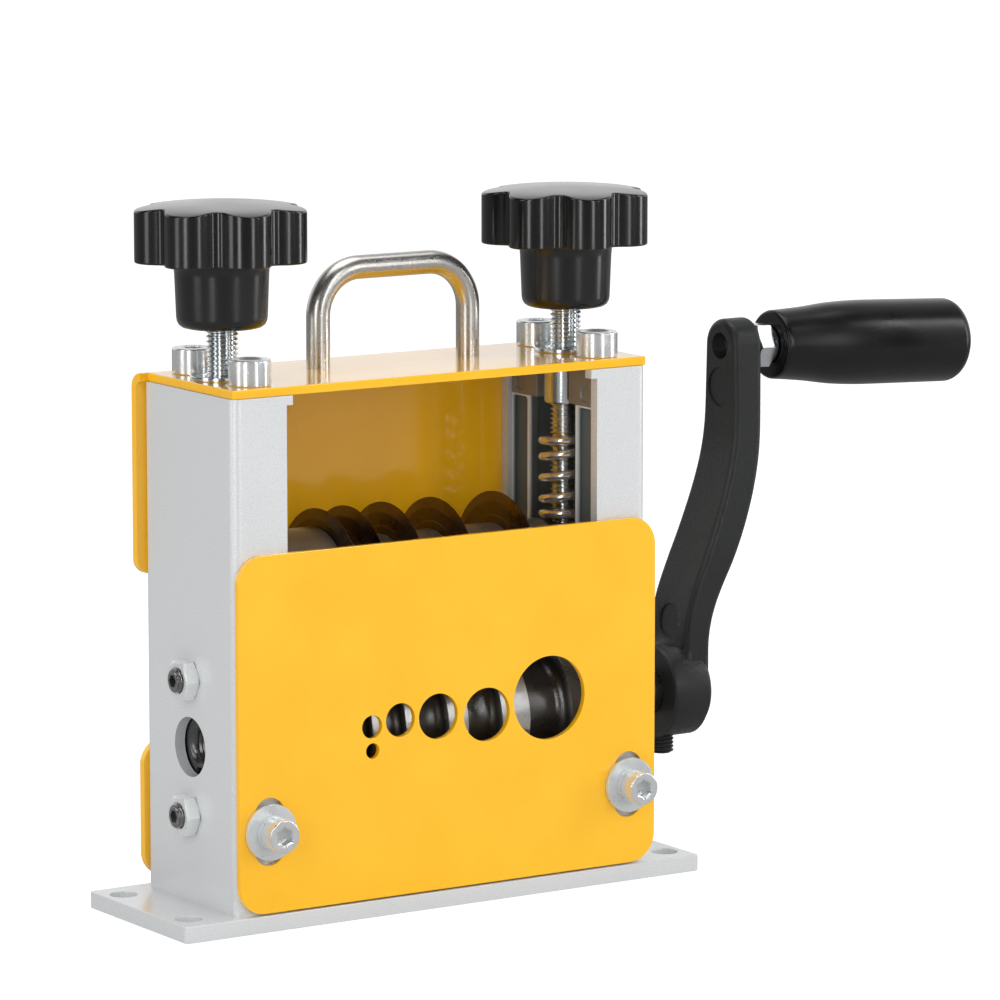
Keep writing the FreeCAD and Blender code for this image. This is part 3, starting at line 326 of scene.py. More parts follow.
block_steel = milled_steel("block_steel", (300, 4000, 300), (0.22, 0.22, 0.21), (0.34, 0.34, 0.33), 0.38)
for side in ("left", "right"):
    fit(with_eased_edges(side + "_bearing_housing", 0.0003), side + "_bearing_housing", block_steel)
    keep(side + "_slide_rails", rail_steel)
    fit(with_eased_edges(side + "_top_block", 0.0003), side + "_top_block", block_steel)

# ---- Drive bearings ----
# A sealed ball bearing in each housing carries the feed shaft: two ground races with a pressed
# shield sunk between them. The left one shows through the hole in its column.

axis_x, axis_y, axis_z = Vector((1, 0, 0)), Vector((0, 1, 0)), Vector((0, 0, 1))


def eased(outline, edge, closed):
    """Rounds the corners of a lathe outline over by a small radius."""
    slight, sharp = math.radians(20), math.radians(50)
    points = [Vector(point) for point in outline]
    result = []
    for index, point in enumerate(points):
        if not closed and index in (0, len(points) - 1):
            result.append(point)
            continue
        back = points[index - 1] - point
        ahead = points[(index + 1) % len(points)] - point
        turn = math.pi - back.angle(ahead, math.pi)
        reach = min(edge, back.length * 0.45, ahead.length * 0.45)
        if turn < slight or reach < 1e-6:
            result.append(point)
            continue
        start, end = point + back.normalized() * reach, point + ahead.normalized() * reach
        middle = (start + end) * 0.25 + point * 0.5
        result += [start, middle, end] if turn > sharp else [start, end]
    return result


def frame_about(centre, axis):
    """Turns (across, beside, along) into a place, with along on the axis."""
    across = axis.orthogonal().normalized() if abs(axis.x) < 0.9 else axis_z.copy()
    across = (across - axis * across.dot(axis)).normalized()
    beside = axis.cross(across)
    return lambda a, b, c: centre + across * a + beside * b + axis * c


def mesh_of_rings(name, rings, closed):
    """Skins rings of equal count. Open stacks get a cap on each end that isn't a point."""
    count = len(rings[0])
    places = [place for ring in rings for place in ring]
    faces = []
    for row in range(len(rings) if closed else len(rings) - 1):
        low, high = row * count, ((row + 1) % len(rings)) * count
        for k in range(count):
            faces.append((low + k, low + (k + 1) % count, high + (k + 1) % count, high + k))
    if not closed:
        faces.append(tuple(range(count))[::-1])
        faces.append(tuple(range((len(rings) - 1) * count, len(rings) * count)))
    mesh = bpy.data.meshes.new(name)
    mesh.from_pydata([tuple(place) for place in places], [], faces)
    form = bmesh.new()
    form.from_mesh(mesh)
    bmesh.ops.remove_doubles(form, verts=form.verts, dist=1e-7)
    bmesh.ops.recalc_face_normals(form, faces=form.faces)
    form.to_mesh(mesh)
    form.free()
    return mesh


def turned_mesh(name, outline, centre, axis, edge=0.0002, closed=False, count=96):
    """A lathe-turned form from (along, radius) points in metres."""
    at = frame_about(centre, axis)
    rings = []
    for along, radius in eased(outline, edge, closed):
        ring = []
        for k in range(count):
            angle = 2 * math.pi * k / count
            ring.append(at(radius * math.cos(angle), radius * math.sin(angle), along))
        rings.append(ring)
    return mesh_of_rings(name, rings, closed)


def turned(name, outline, centre, axis, edge, closed=False, count=96):
    return smoothed(add_piece(name, turned_mesh(name, outline, centre, axis, edge, closed, count)))


feed_axis = Vector((0, 0, 0.0535))
bore, inner_race, outer_race, shield = 0.00755, 0.0097, 0.0135, 0.0006
# The bearings are painted near black as painted shade: they sit deep in the housings and show only inside the
# column's hole.
shade_dark_bearing_steel = turned_metal("shade_dark_bearing_steel", feed_axis, axis_x, (0.06, 0.06, 0.06), (0.12, 0.12, 0.12), 0.35)
for side in ("left", "right"):
    low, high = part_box(side + "_drive_bearing")
    wide = high.x - low.x
    outer = (high.z - low.z) / 2
    races = [(0, bore), (0, inner_race), (0.0003, 0.0099), (shield, 0.0101), (shield, 0.0131), (0.0003, 0.0133),
             (0, outer_race), (0, outer), (wide, outer), (wide, outer_race), (wide - shield, 0.0131),
             (wide - shield, 0.0101), (wide, inner_race), (wide, bore)]
    bearing = turned(side + "_bearing_races", races, Vector((low.x, 0, feed_axis.z)), axis_x, 0.0004, True)
    fit(bearing, side + "_drive_bearing", shade_dark_bearing_steel)

# ---- Bearing set screws and their lock nuts ----
# Zinc-plated socket set screws press on the bearing housings, two on each side. A hexagon nut locks
# each one against the column.


def hex_reach(across_flats, angle):
    """Distance from the middle to a hexagon's edge at an angle."""
    return across_flats / 2 / math.cos((angle + math.pi / 6) % (math.pi / 3) - math.pi / 6)


def hexagon(across_flats):
    """A radius for a level of a shaped mesh that follows a hexagon."""
    return lambda angle: hex_reach(across_flats, angle)


def shaped_mesh(name, levels, centre, axis, count, turn=0.0, closed=False):
    """Rings whose radius may vary round the axis: levels are (along, radius or a function of angle)."""
    at = frame_about(centre, axis)
    rings = []
    for along, radius in levels:
        ring = []
        for k in range(count):
            angle = 2 * math.pi * k / count
            reach = radius(angle) if callable(radius) else radius
            ring.append(at(reach * math.cos(angle + turn), reach * math.sin(angle + turn), along))
        rings.append(ring)
    return mesh_of_rings(name, rings, closed)


def hex_nut_mesh(name, across_flats, thick, bore, centre, axis):
    """A hexagon nut with turned-off corners and a countersunk bore."""
    corner, flat = across_flats / math.sqrt(3), across_flats / 2
    face_r, countersink = flat * 0.97, 0.0006

    def cut(limit):
        return lambda angle: min(hex_reach(across_flats, angle), limit)

    fall = (corner - flat) * 0.58
    levels = [(countersink, bore), (0, bore + countersink), (0, face_r)]
    levels += [(fall * share, cut(face_r + (corner - face_r) * share)) for share in (0.25, 0.5, 0.75, 1.0)]
    levels += [(thick - along, radius) for along, radius in reversed(levels)]
    return shaped_mesh(name, levels, centre, axis, 144, closed=True)


def threaded_mesh(name, low, high, radius, pitch, centre, axis, around):
    """A helical thread between two heights, with flat crests and rounded roots."""
    at = frame_about(centre, axis)
    depth = pitch * 0.58
    profile = [(0.0, radius - depth), (0.14, radius - depth * 0.86), (0.44, radius - depth * 0.06),
               (0.50, radius), (0.58, radius), (0.64, radius - depth * 0.06), (0.94, radius - depth * 0.86)]
    turns = int((high - low) / pitch) + 2
    rings = []
    for row in range(turns * len(profile)):
        share, reach = profile[row % len(profile)]
        ring = []
        for k in range(around + 1):
            along = low + pitch * (row // len(profile) - 1 + share + k / around)
            angle = 2 * math.pi * k / around
            along = min(max(along, low), high)
            ring.append(at(reach * math.cos(angle), reach * math.sin(angle), along))
        rings.append(ring)
    places = [place for ring in rings for place in ring]
    faces = []
    for row in range(len(rings) - 1):
        for k in range(around):
            first = row * (around + 1) + k
            faces.append((first, first + 1, first + around + 2, first + around + 1))
    mesh = bpy.data.meshes.new(name)
    mesh.from_pydata([tuple(place) for place in places], [], faces)
    return mesh


def joined(name, meshes, angle=32):
    """One piece from several forms."""
    form = bmesh.new()
    for mesh in meshes:
        form.from_mesh(mesh)
    bmesh.ops.remove_doubles(form, verts=form.verts, dist=1e-7)
    whole = bpy.data.meshes.new(name)
    form.to_mesh(whole)
    form.free()
    return smoothed(add_piece(name, whole), angle)


column_face, buried = 0.075, 0.0034
_, nut_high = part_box("bearing_lock_nuts")
_, set_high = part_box("bearing_set_screws")
nut_meshes, screw_meshes = [], []
key = hexagon(0.0036)
for side in (-1, 1):
    for height in (0.0325, 0.0745):
        out = axis_x * side
        seat = Vector((side * column_face, 0, height))
        nut_meshes.append(hex_nut_mesh("nut", 0.0115, nut_high.x - column_face, 0.0037, seat, out))
        root = seat - out * buried
        end = set_high.x - column_face + buried
        levels = [(0, 0.0022), (0.0007, 0.0030), (end - 0.0005, 0.0031), (end, 0.0028), (end, key),
                  (end - 0.0028, key), (end - 0.0033, 0)]
        screw_meshes.append(shaped_mesh("set_screw", levels, root, out, 48))
        screw_meshes.append(threaded_mesh("thread", 0.0006, end - 0.0004, 0.00355, 0.001, root, out, 28))
flat_sided = 5  # degrees: keeps the nuts' turned-off corners crisp
zinc_on_x = turned_metal("zinc_side", feed_axis, axis_x, (0.74, 0.77, 0.78), (0.9, 0.91, 0.91), 0.3, 0.5,
                         lines=0.05)
fit(joined("lock_nuts", nut_meshes, flat_sided), "bearing_lock_nuts", zinc_on_x)
dark_steel = turned_metal("set_screw_steel", feed_axis, axis_x, (0.28, 0.28, 0.28), (0.46, 0.46, 0.46), 0.3,
                          lines=0.1)
fit(joined("set_screws", screw_meshes), "bearing_set_screws", dark_steel)

# ---- The top cover ----
# One bent sheet with a smooth yellow powder coat: a flat top over both columns, a rolled bend at the
# back, and the rear upper guard that hangs from it.

yellow_coat, shader = start_material("yellow_coat", 0.0)
with_values(shader, Coat_Weight=1.0, Coat_Roughness=0.08)
grain = place_group(yellow_coat, coat_grain, Wave_size=420.0, Speck_size=2400.0)
mixed_colour(yellow_coat, shader, grain.outputs["Clouds"], (0.93, 0.46, 0.003), (1.0, 0.55, 0.008))
ranged_roughness(yellow_coat, shader, grain.outputs["Clouds"], 0.16, 0.26)
relief(yellow_coat, shader, grain.outputs["Height"], 0.08, 0.0001)

fit(with_eased_edges("top_cover", 0.0003), "top_cover", yellow_coat)

# ---- Socket cap screws ----
# Bright zinc cap screws: four large ones hold the cover to the top blocks, two clamp the guide plate,
# and low-headed ones hold the rear lower guard and, from below, the handle.


def cap_screw_meshes(seat, out, head, tall, shank, length, key, pitch):
    """A head with a hexagon socket, and a threaded shank behind the seat."""
    edge, core, socket = head * 0.1, shank * 0.86, hexagon(key)
    levels = [(0, shank * 0.8), (0, head - 0.0003), (0.0003, head), (tall - edge, head),
              (tall - edge * 0.45, head - edge * 0.16), (tall - edge * 0.12, head - edge * 0.5),
              (tall, head - edge), (tall, key / math.sqrt(3) + 0.0004), (tall - 0.0004, socket),
              (tall * 0.48, socket), (tall * 0.38, 0)]
    head_mesh = shaped_mesh("head", levels, seat, out, 96, 0.3)
    shaft = turned_mesh("shaft", [(0, core), (-length + 0.0004, core), (-length, 0)], seat, out, count=32)
    thread = threaded_mesh("thread", -length + 0.0005, -0.0003, shank - 0.00005, pitch, seat, out, 32)
    return [head_mesh, shaft, thread]


cover_top, cover_underside = 0.1659, 0.1632
clamp_x, clamp_z = (-0.0643, 0.067), 0.031
# Each row: seats, direction, head radius and height, shank radius and length, key size and pitch
screw_rows = {
    "top_cover_screws": ([Vector((x, y, cover_top)) for x in (-0.063, 0.063) for y in (-0.017, 0.017)],
                         axis_z, 0.0065, 0.008, 0.00395, 0.0149, 0.006, 0.00125),
    "guide_plate_screws": ([Vector((x, -0.03245, clamp_z)) for x in clamp_x],
                           -axis_y, 0.0052, 0.006, 0.00295, 0.0085, 0.005, 0.001),
    "rear_guard_screws": ([Vector((x, 0.0299, z)) for x in (-0.066, 0.066) for z in (0.018, 0.0405)],
                          axis_y, 0.00475, 0.0028, 0.00245, 0.006, 0.003, 0.0008),
    "handle_screws": ([Vector((x, 0.0064, cover_underside)) for x in (-0.0247, 0.03)],
                      -axis_z, 0.004, 0.0024, 0.00195, 0.0115, 0.0025, 0.0007),
}
for node, (seats, out, head, tall, shank, length, key, pitch) in screw_rows.items():
    meshes = []
    for seat in seats:
        meshes += cap_screw_meshes(seat, out, head, tall, shank, length, key, pitch)
    plated = turned_metal("zinc_" + node, seats[0], out, (0.72, 0.75, 0.77), (0.88, 0.90, 0.90), 0.22, 0.75,
                          lines=0.08)
    fit(joined(node + "_plated", meshes), node, plated)

# ---- Guide plate, its washers and the rear lower guard ----
# Flat sheets with the same yellow coat. The guide plate can slide up on its two clamp screws, which
# press it through a wide flat washer and a spring washer.

fit(with_eased_edges("front_guide_plate", 0.0003), "front_guide_plate", yellow_coat)
fit(with_eased_edges("rear_lower_guard", 0.0003), "rear_lower_guard", yellow_coat)

washer_meshes = []
plate_face, clear, thick, hole_r, washer_r = -0.02925, 0.00003, 0.0016, 0.0033, 0.0087
for x in clamp_x:
    ring = [(clear, hole_r), (clear, washer_r), (thick, washer_r), (thick, hole_r)]
    seat = Vector((x, plate_face, clamp_z))
    washer_meshes.append(turned_mesh("washer", ring, seat, -axis_y, 0.00025, True))
plate_zinc = turned_metal("zinc_washers", (clamp_x[0], 0, clamp_z), axis_y, (0.66, 0.70, 0.72),
                          (0.84, 0.86, 0.87), 0.32, 0.6, lines=0.15)
fit(joined("clamp_washers", washer_meshes), "guide_plate_washers", plate_zinc)
fit(with_eased_edges("guide_plate_spring_washers", 0.0002), "guide_plate_spring_washers", plate_zinc)

# ---- Carry handle ----
# A stainless rod with two bends. It is brushed along its length and screwed on from under the cover.


def bar_mesh(name, route, radius, around, side):
    """A round bar along a route. Its section starts at a side and is carried square to the route."""
    rings = []
    for index, place in enumerate(route):
        ahead = (route[min(index + 1, len(route) - 1)] - route[max(index - 1, 0)]).normalized()
        side = (side - ahead * side.dot(ahead)).normalized()
        beside = ahead.cross(side)
        ring = []
        for k in range(around):
            angle = 2 * math.pi * k / around
            ring.append(place + side * (radius * math.cos(angle)) + beside * (radius * math.sin(angle)))
        rings.append(ring)
    return mesh_of_rings(name, rings, False)


low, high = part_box("carry_handle")
bar_r = (high.y - low.y) / 2
bend_r, bend_steps, leg_steps = 0.0145, 16, 6
left, right = low.x + bar_r, high.x - bar_r
centre_y, bend_z = (low.y + high.y) / 2, high.z - bar_r - bend_r
leg = bend_z - low.z
route = [Vector((left, centre_y, low.z + leg * step / leg_steps)) for step in range(leg_steps)]
for middle_x, first in ((left + bend_r, 180), (right - bend_r, 90)):
    for step in range(bend_steps + 1):
        angle = math.radians(first - 90 * step / bend_steps)
        route.append(Vector((middle_x + bend_r * math.cos(angle), centre_y, bend_z + bend_r * math.sin(angle))))
route += [Vector((right, centre_y, bend_z - leg * step / leg_steps)) for step in range(1, leg_steps + 1)]
handle = smoothed(add_piece("handle_bar", bar_mesh("handle_bar", route, bar_r, 48, axis_y)))

brushed_steel, shader = start_material("brushed_steel", 1.0)
marks = place_group(brushed_steel, cutter_marks, Stroke=(700, 4200, 700))
mixed_colour(brushed_steel, shader, marks.outputs["Blotches"], (0.62, 0.60, 0.57), (0.68, 0.66, 0.63))
ranged_roughness(brushed_steel, shader, marks.outputs["Height"], 0.26, 0.34)
relief(brushed_steel, shader, marks.outputs["Height"], 0.06, 0.00003)
fit(handle, "carry_handle", brushed_steel)

# ---- Threaded bushes ----
# A turned and plated bush with a thin wide flange is pressed through the cover into each top block.
# The adjusting rod's thread runs in it.

bush_bore, barrel_r = 0.005, 0.00675
for side in ("left", "right"):
    low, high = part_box(side + "_threaded_bush")
    flange_r = (high.x - low.x) / 2
    place = Vector(((low.x + high.x) / 2, 0, low.z))
    flange, tall = cover_top - low.z, high.z - low.z
    bush = [(0, bush_bore), (0, 0.0063), (0.0005, barrel_r), (flange, barrel_r), (flange, flange_r),
            (tall, flange_r), (tall, 0.0056), (tall - 0.0006, bush_bore)]
    piece = turned(side + "_bush", bush, place, axis_z, 0.0003, True)
    fit(piece, side + "_threaded_bush",
        turned_metal(side + "_bush_zinc", place, axis_z, (0.66, 0.70, 0.72), (0.84, 0.86, 0.87), 0.16))

# ---- Adjusting rods ----
# Zinc-plated threaded rods. A knob is fixed on the top of each, and a turned neck and head at the
# bottom hang in the slider.

thread_low, head_r, head_tall, neck_r, core_r = 0.1115, 0.0047, 0.0019, 0.0032, 0.0041
for side in ("left", "right"):
    low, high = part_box(side + "_adjusting_rod")
    place = Vector(((low.x + high.x) / 2, 0, 0))
    rod_r = (high.x - low.x) / 2
    shaft = [(low.z, 0), (low.z, head_r), (low.z + head_tall, head_r), (low.z + head_tall, neck_r),
             (thread_low, neck_r), (thread_low, core_r), (high.z, core_r), (high.z, 0)]
    meshes = [turned_mesh("shaft", shaft, place, axis_z, 0.0002, False, 48),
              threaded_mesh("thread", thread_low + 0.0002, high.z - 0.0003, rod_r, 0.0015, place, axis_z, 56)]
    rod_zinc = turned_metal(side + "_rod_zinc", place, axis_z, (0.64, 0.68, 0.70), (0.86, 0.88, 0.88), 0.18,
                            lines=0.08)
    fit(joined(side + "_rod", meshes), side + "_adjusting_rod", rod_zinc)

# ---- Springs ----
# Bright compression springs round the rods press the sliders down. Their end coils close up and are
# ground flat.

spring_chrome, shader = start_material("spring_chrome", 0.9)
with_values(shader, Roughness=0.2)
marks = place_group(spring_chrome, lathe_marks, Centre=(0, 0, 0), Axis=(0, 0, 1), Fineness=1500.0)
mixed_colour(spring_chrome, shader, marks.outputs["Stains"], (0.78, 0.78, 0.77), (0.92, 0.92, 0.92))
relief(spring_chrome, shader, marks.outputs["Height"], 0.06, 0.00004)

wire_r, turns, turn_steps, end_pitch = 0.00145, 5, 40, 0.0031
for side, sign in (("left", -1), ("right", 1)):
    low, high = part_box(side + "_spring")
    coil_r = (high.x - low.x) / 2 - wire_r
    middle_x = (low.x + high.x) / 2
    start, rise = low.z + wire_r, high.z - low.z - 2 * wire_r
    middle_pitch = (rise - 2 * end_pitch) / (turns - 2)
    route = []
    for step in range(turns * turn_steps + 1):
        turn = step / turn_steps
        end_turns = min(turn, 1) + max(turn - turns + 1, 0)
        angle = 2 * math.pi * turn
        route.append(Vector((middle_x + sign * coil_r * math.cos(angle), coil_r * math.sin(angle),
                             start + end_pitch * end_turns + middle_pitch * (turn - end_turns))))
    coil = bar_mesh(side + "_coil", route, wire_r, 16, Vector((sign, 0, 0)))
    fit(smoothed(add_piece(side + "_coil", coil)), side + "_spring", spring_chrome)

# ---- Star knobs ----
# Moulded gloss black plastic: seven lobes joined by hollows, a low dome on top whose edge falls away,
# and a tapered round hub below.

lobes, lobe_r, valley_r, knob_r = 7, 0.008, 0.0213, 0.02665


def star_outline(first_valley, inset):
    """Places round the star, drawn in by an inset. Lobes and hollows meet without a corner."""
    points = 10
    step = 2 * math.pi / lobes
    lobe_middle, reach = knob_r - lobe_r, valley_r - lobe_r
    hollow_middle = (lobe_middle ** 2 - reach ** 2) / (2 * (lobe_middle * math.cos(step / 2) - reach))
    hollow_r = hollow_middle - valley_r
    places = []
    for index in range(lobes):
        valley = first_valley + index * step
        hollow = Vector((hollow_middle * math.cos(valley), hollow_middle * math.sin(valley)))
        before = Vector((lobe_middle * math.cos(valley - step / 2), lobe_middle * math.sin(valley - step / 2)))
        after = Vector((lobe_middle * math.cos(valley + step / 2), lobe_middle * math.sin(valley + step / 2)))
        for middle, radius, neighbour, inward in ((hollow, hollow_r + inset, before, True),
                                                  (after, lobe_r - inset, hollow, False)):
            first = (neighbour - middle).normalized()
            halfway = -middle.normalized() if inward else middle.normalized()
            opening = math.atan2(first.x * halfway.y - first.y * halfway.x, first.dot(halfway))
            for k in range(points):
                turn = 2 * opening * k / points
                direction = Vector((first.x * math.cos(turn) - first.y * math.sin(turn),
                                    first.x * math.sin(turn) + first.y * math.cos(turn)))
                places.append(middle + direction * radius)
    return places


def knob_dome(radius):
    """Height of the dome over the lobes' tips, which falls away faster outside the valleys."""
    slope, rim_fall = 0.0015, 0.0007
    share = radius / knob_r
    return 0.0022 - slope * share ** 2 - rim_fall * share ** 8


black_gloss, shader = start_material("black_gloss", 0.0)
grain = place_group(black_gloss, coat_grain, Wave_size=260.0, Speck_size=5000.0)
mixed_colour(black_gloss, shader, grain.outputs["Clouds"], (0.002, 0.0022, 0.002), (0.004, 0.0043, 0.004))
ranged_roughness(black_gloss, shader, grain.outputs["Clouds"], 0.17, 0.27)
with_values(shader, Coat_Weight=0.4, Coat_Roughness=0.16)
relief(black_gloss, shader, grain.outputs["Height"], 0.06, 0.0001)

rod_x, hub, skirt, edge, edge_steps = 0.0626, 0.0201, 0.0159, 0.0006, 5
for side, sign, first_valley in (("left", -1, 236.1), ("right", 1, 230.2)):
    low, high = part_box(side + "_knob")
    middle = Vector((sign * rod_x, 0, low.z))
    valley = math.radians(first_valley)
    outer = star_outline(valley, 0)
    directions = [place.normalized() for place in outer]
    rings = [[middle + Vector((d.x * 0.0051, d.y * 0.0051, 0.004)) for d in directions]]
    for radius, height in ((0.0051, 0), (0.0108, 0), (0.0121, 0.0003), (0.0131, 0.001), (0.0137, 0.0021),
                           (0.0139, 0.0034), (0.0144, 0.0165), (0.0147, hub - 0.0007), (0.0153, hub)):
        rings.append([middle + Vector((d.x * radius, d.y * radius, height)) for d in directions])
    for inset, height in ((edge, hub), (0.0003, hub + 0.0001), (0.0001, hub + 0.0003), (0, hub + edge)):
        rings.append([middle + Vector((p.x, p.y, height)) for p in star_outline(valley, inset)])
    for step in range(edge_steps + 1):
        turn = math.radians(90 * step / edge_steps)
        inset = edge * (1 - math.cos(turn))
        ring = []
        for p in star_outline(valley, inset):
            height = hub + skirt - edge * (1 - math.sin(turn)) + knob_dome(p.length)
            ring.append(middle + Vector((p.x, p.y, height)))
        rings.append(ring)
    inner = star_outline(valley, edge)
    for share in (0.94, 0.88, 0.8, 0.7, 0.55, 0.4, 0.25, 0.1, 0.0):
        rings.append([middle + Vector((p.x * share, p.y * share, hub + skirt + knob_dome(p.length * share)))
                      for p in inner])
    name = side + "_star_knob"
    fit(smoothed(add_piece(name, mesh_of_rings(name, rings, False)), 50), side + "_knob", black_gloss)

# ---- Sliders and their bushes ----
# Bare steel blocks run up and down between the rails. A plain bronze bush in each one carries an end
# of the blade shaft.

bronze = turned_metal("bronze", (0, 0, 0.0981), axis_x, (0.45, 0.28, 0.10), (0.62, 0.42, 0.18), 0.28)
for side in ("left", "right"):
    fit(with_eased_edges(side + "_slider", 0.0003), side + "_slider", slider_steel)
    keep(side + "_blade_bush", bronze)

# ---- Blade spindle ----
# Five hardened round blades, ground to an edge on both sides, with turned spacers between them and a
# collar at each end, all on one shaft.

spindle_axis = Vector((0, 0, 0.0981))
spindle_steel = turned_metal("spindle_steel", spindle_axis, axis_x, (0.16, 0.16, 0.155), (0.30, 0.30, 0.29),
                             0.34, 0.7)
blade_steel = turned_metal("blade_steel", spindle_axis, axis_x, (0.10, 0.07, 0.055), (0.20, 0.155, 0.13), 0.3,
                           fineness=5000.0, lines=0.4)
keep("blade_shaft", spindle_steel)
hub_step, face_in, face_out, ground = 0.0075, 0.0072, 0.0034, 0.003  # inwards from the rim
edges = []
for number in range(1, 6):
    low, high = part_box("blade_" + str(number))
    middle, half, rim = (low.x + high.x) / 2, (high.x - low.x) / 2, (high.z - low.z) / 2
    face, bevel = half * 0.86, half * 0.8
    outline = [(-half, bore), (-half, rim - hub_step), (-face, rim - face_in), (-face, rim - face_out),
               (-bevel, rim - ground), (-0.0001, rim), (0.0001, rim), (bevel, rim - ground),
               (face, rim - face_out), (face, rim - face_in), (half, rim - hub_step), (half, bore)]
    centre = spindle_axis + axis_x * middle
    disc = turned("round_blade_" + str(number), outline, centre, axis_x, 0.00003, True, 144)
    fit(disc, "blade_" + str(number), blade_steel)
    edges.append((low.x, high.x))

ring_meshes, spacer_r = [], 0.01525
for (_, start), (end, _) in zip(edges[:-1], edges[1:]):
    ring = [(start, bore), (start, spacer_r), (end, spacer_r), (end, bore)]
    ring_meshes.append(turned_mesh("spacer", ring, spindle_axis, axis_x, 0.0004, True))
fit(joined("spacers", ring_meshes), "blade_spacers", spindle_steel)
for side in ("left", "right"):
    low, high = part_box(side + "_blade_collar")
    rim = (high.z - low.z) / 2
    ring = [(low.x, bore), (low.x, rim), (high.x, rim), (high.x, bore)]
    collar = turned(side + "_collar", ring, spindle_axis, axis_x, 0.0006, True)
    fit(collar, side + "_blade_collar", spindle_steel)

# ---- Feed roller ----
# Turned from one bar: a groove runs under each blade, square at the blade and hollow at its far wall,
# with lands between; the lands are painted light as a highlight and the grooves dark as shade. It is keyed to
# the shaft.

land_r, groove_r, neck_r, lead, hollow, hollow_steps = 0.022, 0.017, 0.012, 0.0017, 0.0035, 6
first_land, last_land, groove_widths = -0.033, 0.055, (0.007, 0.009, 0.0106, 0.0124, 0.0158)
low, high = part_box("feed_roller")
outline = [(low.x, bore), (low.x, neck_r), (first_land, neck_r), (first_land, land_r)]
for (start_x, end_x), width in zip(edges, groove_widths):
    start = (start_x + end_x) / 2 - lead
    end = start + width
    outline += [(start, land_r), (start, groove_r)]
    for step in range(hollow_steps + 1):
        turn = math.radians(90 * step / hollow_steps)
        outline.append((end - hollow + hollow * math.sin(turn), groove_r + hollow * (1 - math.cos(turn))))
    outline.append((end, land_r))
outline += [(last_land, land_r), (last_land, neck_r), (high.x, neck_r), (high.x, bore)]
roller_steel, shader = start_material("roller_steel", 0.9)
marks = place_group(roller_steel, lathe_marks, Centre=feed_axis, Axis=axis_x, Fineness=4000.0)
# Painted light by radius: the lands are painted light as a painted highlight, and the grooves painted dark as
# shade.
land_light_groove_shade = add_node(roller_steel.node_tree, "MapRange", From_Min=0.0195, From_Max=0.0217)
roller_steel.node_tree.links.new(marks.outputs["Radius"], land_light_groove_shade.inputs["Value"])
mixed_colour(roller_steel, shader, land_light_groove_shade.outputs["Result"], (0.15, 0.15, 0.15), (0.58, 0.58, 0.57))
ranged_roughness(roller_steel, shader, marks.outputs["Stains"], 0.24, 0.38)
relief(roller_steel, shader, marks.outputs["Height"], 0.8, 0.00005)
fit(turned("grooved_roller", outline, feed_axis, axis_x, 0.0003, True, 160), "feed_roller", roller_steel)

# ---- Feed shaft, key and circlips ----
# A ground shaft runs through both bearings and out to the crank. A square key drives the roller, and a
# spring circlip outside each bearing keeps the shaft in place.

low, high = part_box("feed_shaft")
shaft_r, end_r, chamfer, root_r, crest_r, pitch = 0.0075, 0.0069, 0.0006, 0.0052, 0.0045, 0.00125
shaft = [(low.x + 0.014, 0)]
for ridge in range(10):
    start = low.x + 0.0138 - pitch * ridge
    shaft += [(start, root_r), (start - 0.0006, crest_r)]
shaft += [(low.x + 0.0008, root_r), (low.x, 0.006), (low.x, end_r), (low.x + chamfer, shaft_r),
          (high.x - chamfer, shaft_r), (high.x, end_r), (high.x, 0.0027), (high.x - 0.0002, 0.0026),
          (high.x - 0.0016, 0.001), (high.x - 0.0018, 0)]
# The shaft, its key and the circlips are painted dark grey as painted shade, because they show only in the dark
# of the column's hole.
shade_dark_shaft_steel = turned_metal("shade_dark_shaft_steel", feed_axis, axis_x, (0.10, 0.10, 0.10), (0.20, 0.20, 0.20), 0.3)
fit(turned("drive_shaft", shaft, feed_axis, axis_x, 0.0001), "feed_shaft", shade_dark_shaft_steel)
keep("feed_key", shade_dark_shaft_steel)
shade_dark_circlip_steel = turned_metal("shade_dark_circlip_steel", feed_axis, axis_x, (0.10, 0.10, 0.10), (0.2, 0.2, 0.2), 0.3)
keep("shaft_circlips", shade_dark_circlip_steel)

# ---- Crank arm ----
# A cast arm, sprayed satin black, with a round hub on the shaft and an S-shaped side. A threaded stud
# clamps the hub from below.

black_satin, shader = start_material("black_satin", 0.0, 0.4)
grain = place_group(black_satin, coat_grain, Wave_size=900.0, Speck_size=2200.0)
mixed_colour(black_satin, shader, grain.outputs["Clouds"], (0.009, 0.0095, 0.0095), (0.018, 0.019, 0.019))
ranged_roughness(black_satin, shader, grain.outputs["Specks"], 0.34, 0.5)
relief(black_satin, shader, grain.outputs["Height"], 0.35, 0.00015)
fit(with_eased_edges("crank_arm", 0), "crank_arm", black_satin)

low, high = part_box("crank_clamp_screw")
place = Vector(((low.x + high.x) / 2, 0, low.z))
tall, stud_r, key = high.z - low.z, 0.0034, hexagon(0.004)
levels = [(tall, 0), (tall, 0.0028), (tall - 0.0007, stud_r), (0.0006, stud_r), (0, 0.003), (0, key),
          (0.004, key), (0.0045, 0)]
stud_meshes = [shaped_mesh("stud", levels, place, axis_z, 48),
               threaded_mesh("thread", 0.0004, tall - 0.0007, 0.004, 0.00125, place, axis_z, 48)]
black_oxide = turned_metal("black_oxide", place, axis_z, (0.03, 0.03, 0.032), (0.07, 0.07, 0.072), 0.3, 0.8)
fit(joined("clamp_stud", stud_meshes), "crank_clamp_screw", black_oxide)

# ---- Grip, its spindle and lock nut ----
# A moulded black grip turns freely on a steel spindle. The spindle is screwed into the arm's tip and
# locked there by a nut, and leans down a little.

droop = math.radians(2.6)
grip_root = Vector((0.1222, 0, 0.1632))
grip_axis = Vector((math.cos(droop), 0, -math.sin(droop)))


def on_grip(x):
    """Distance along the drooping axis of a place drawn on a level one."""
    return x - grip_root.x


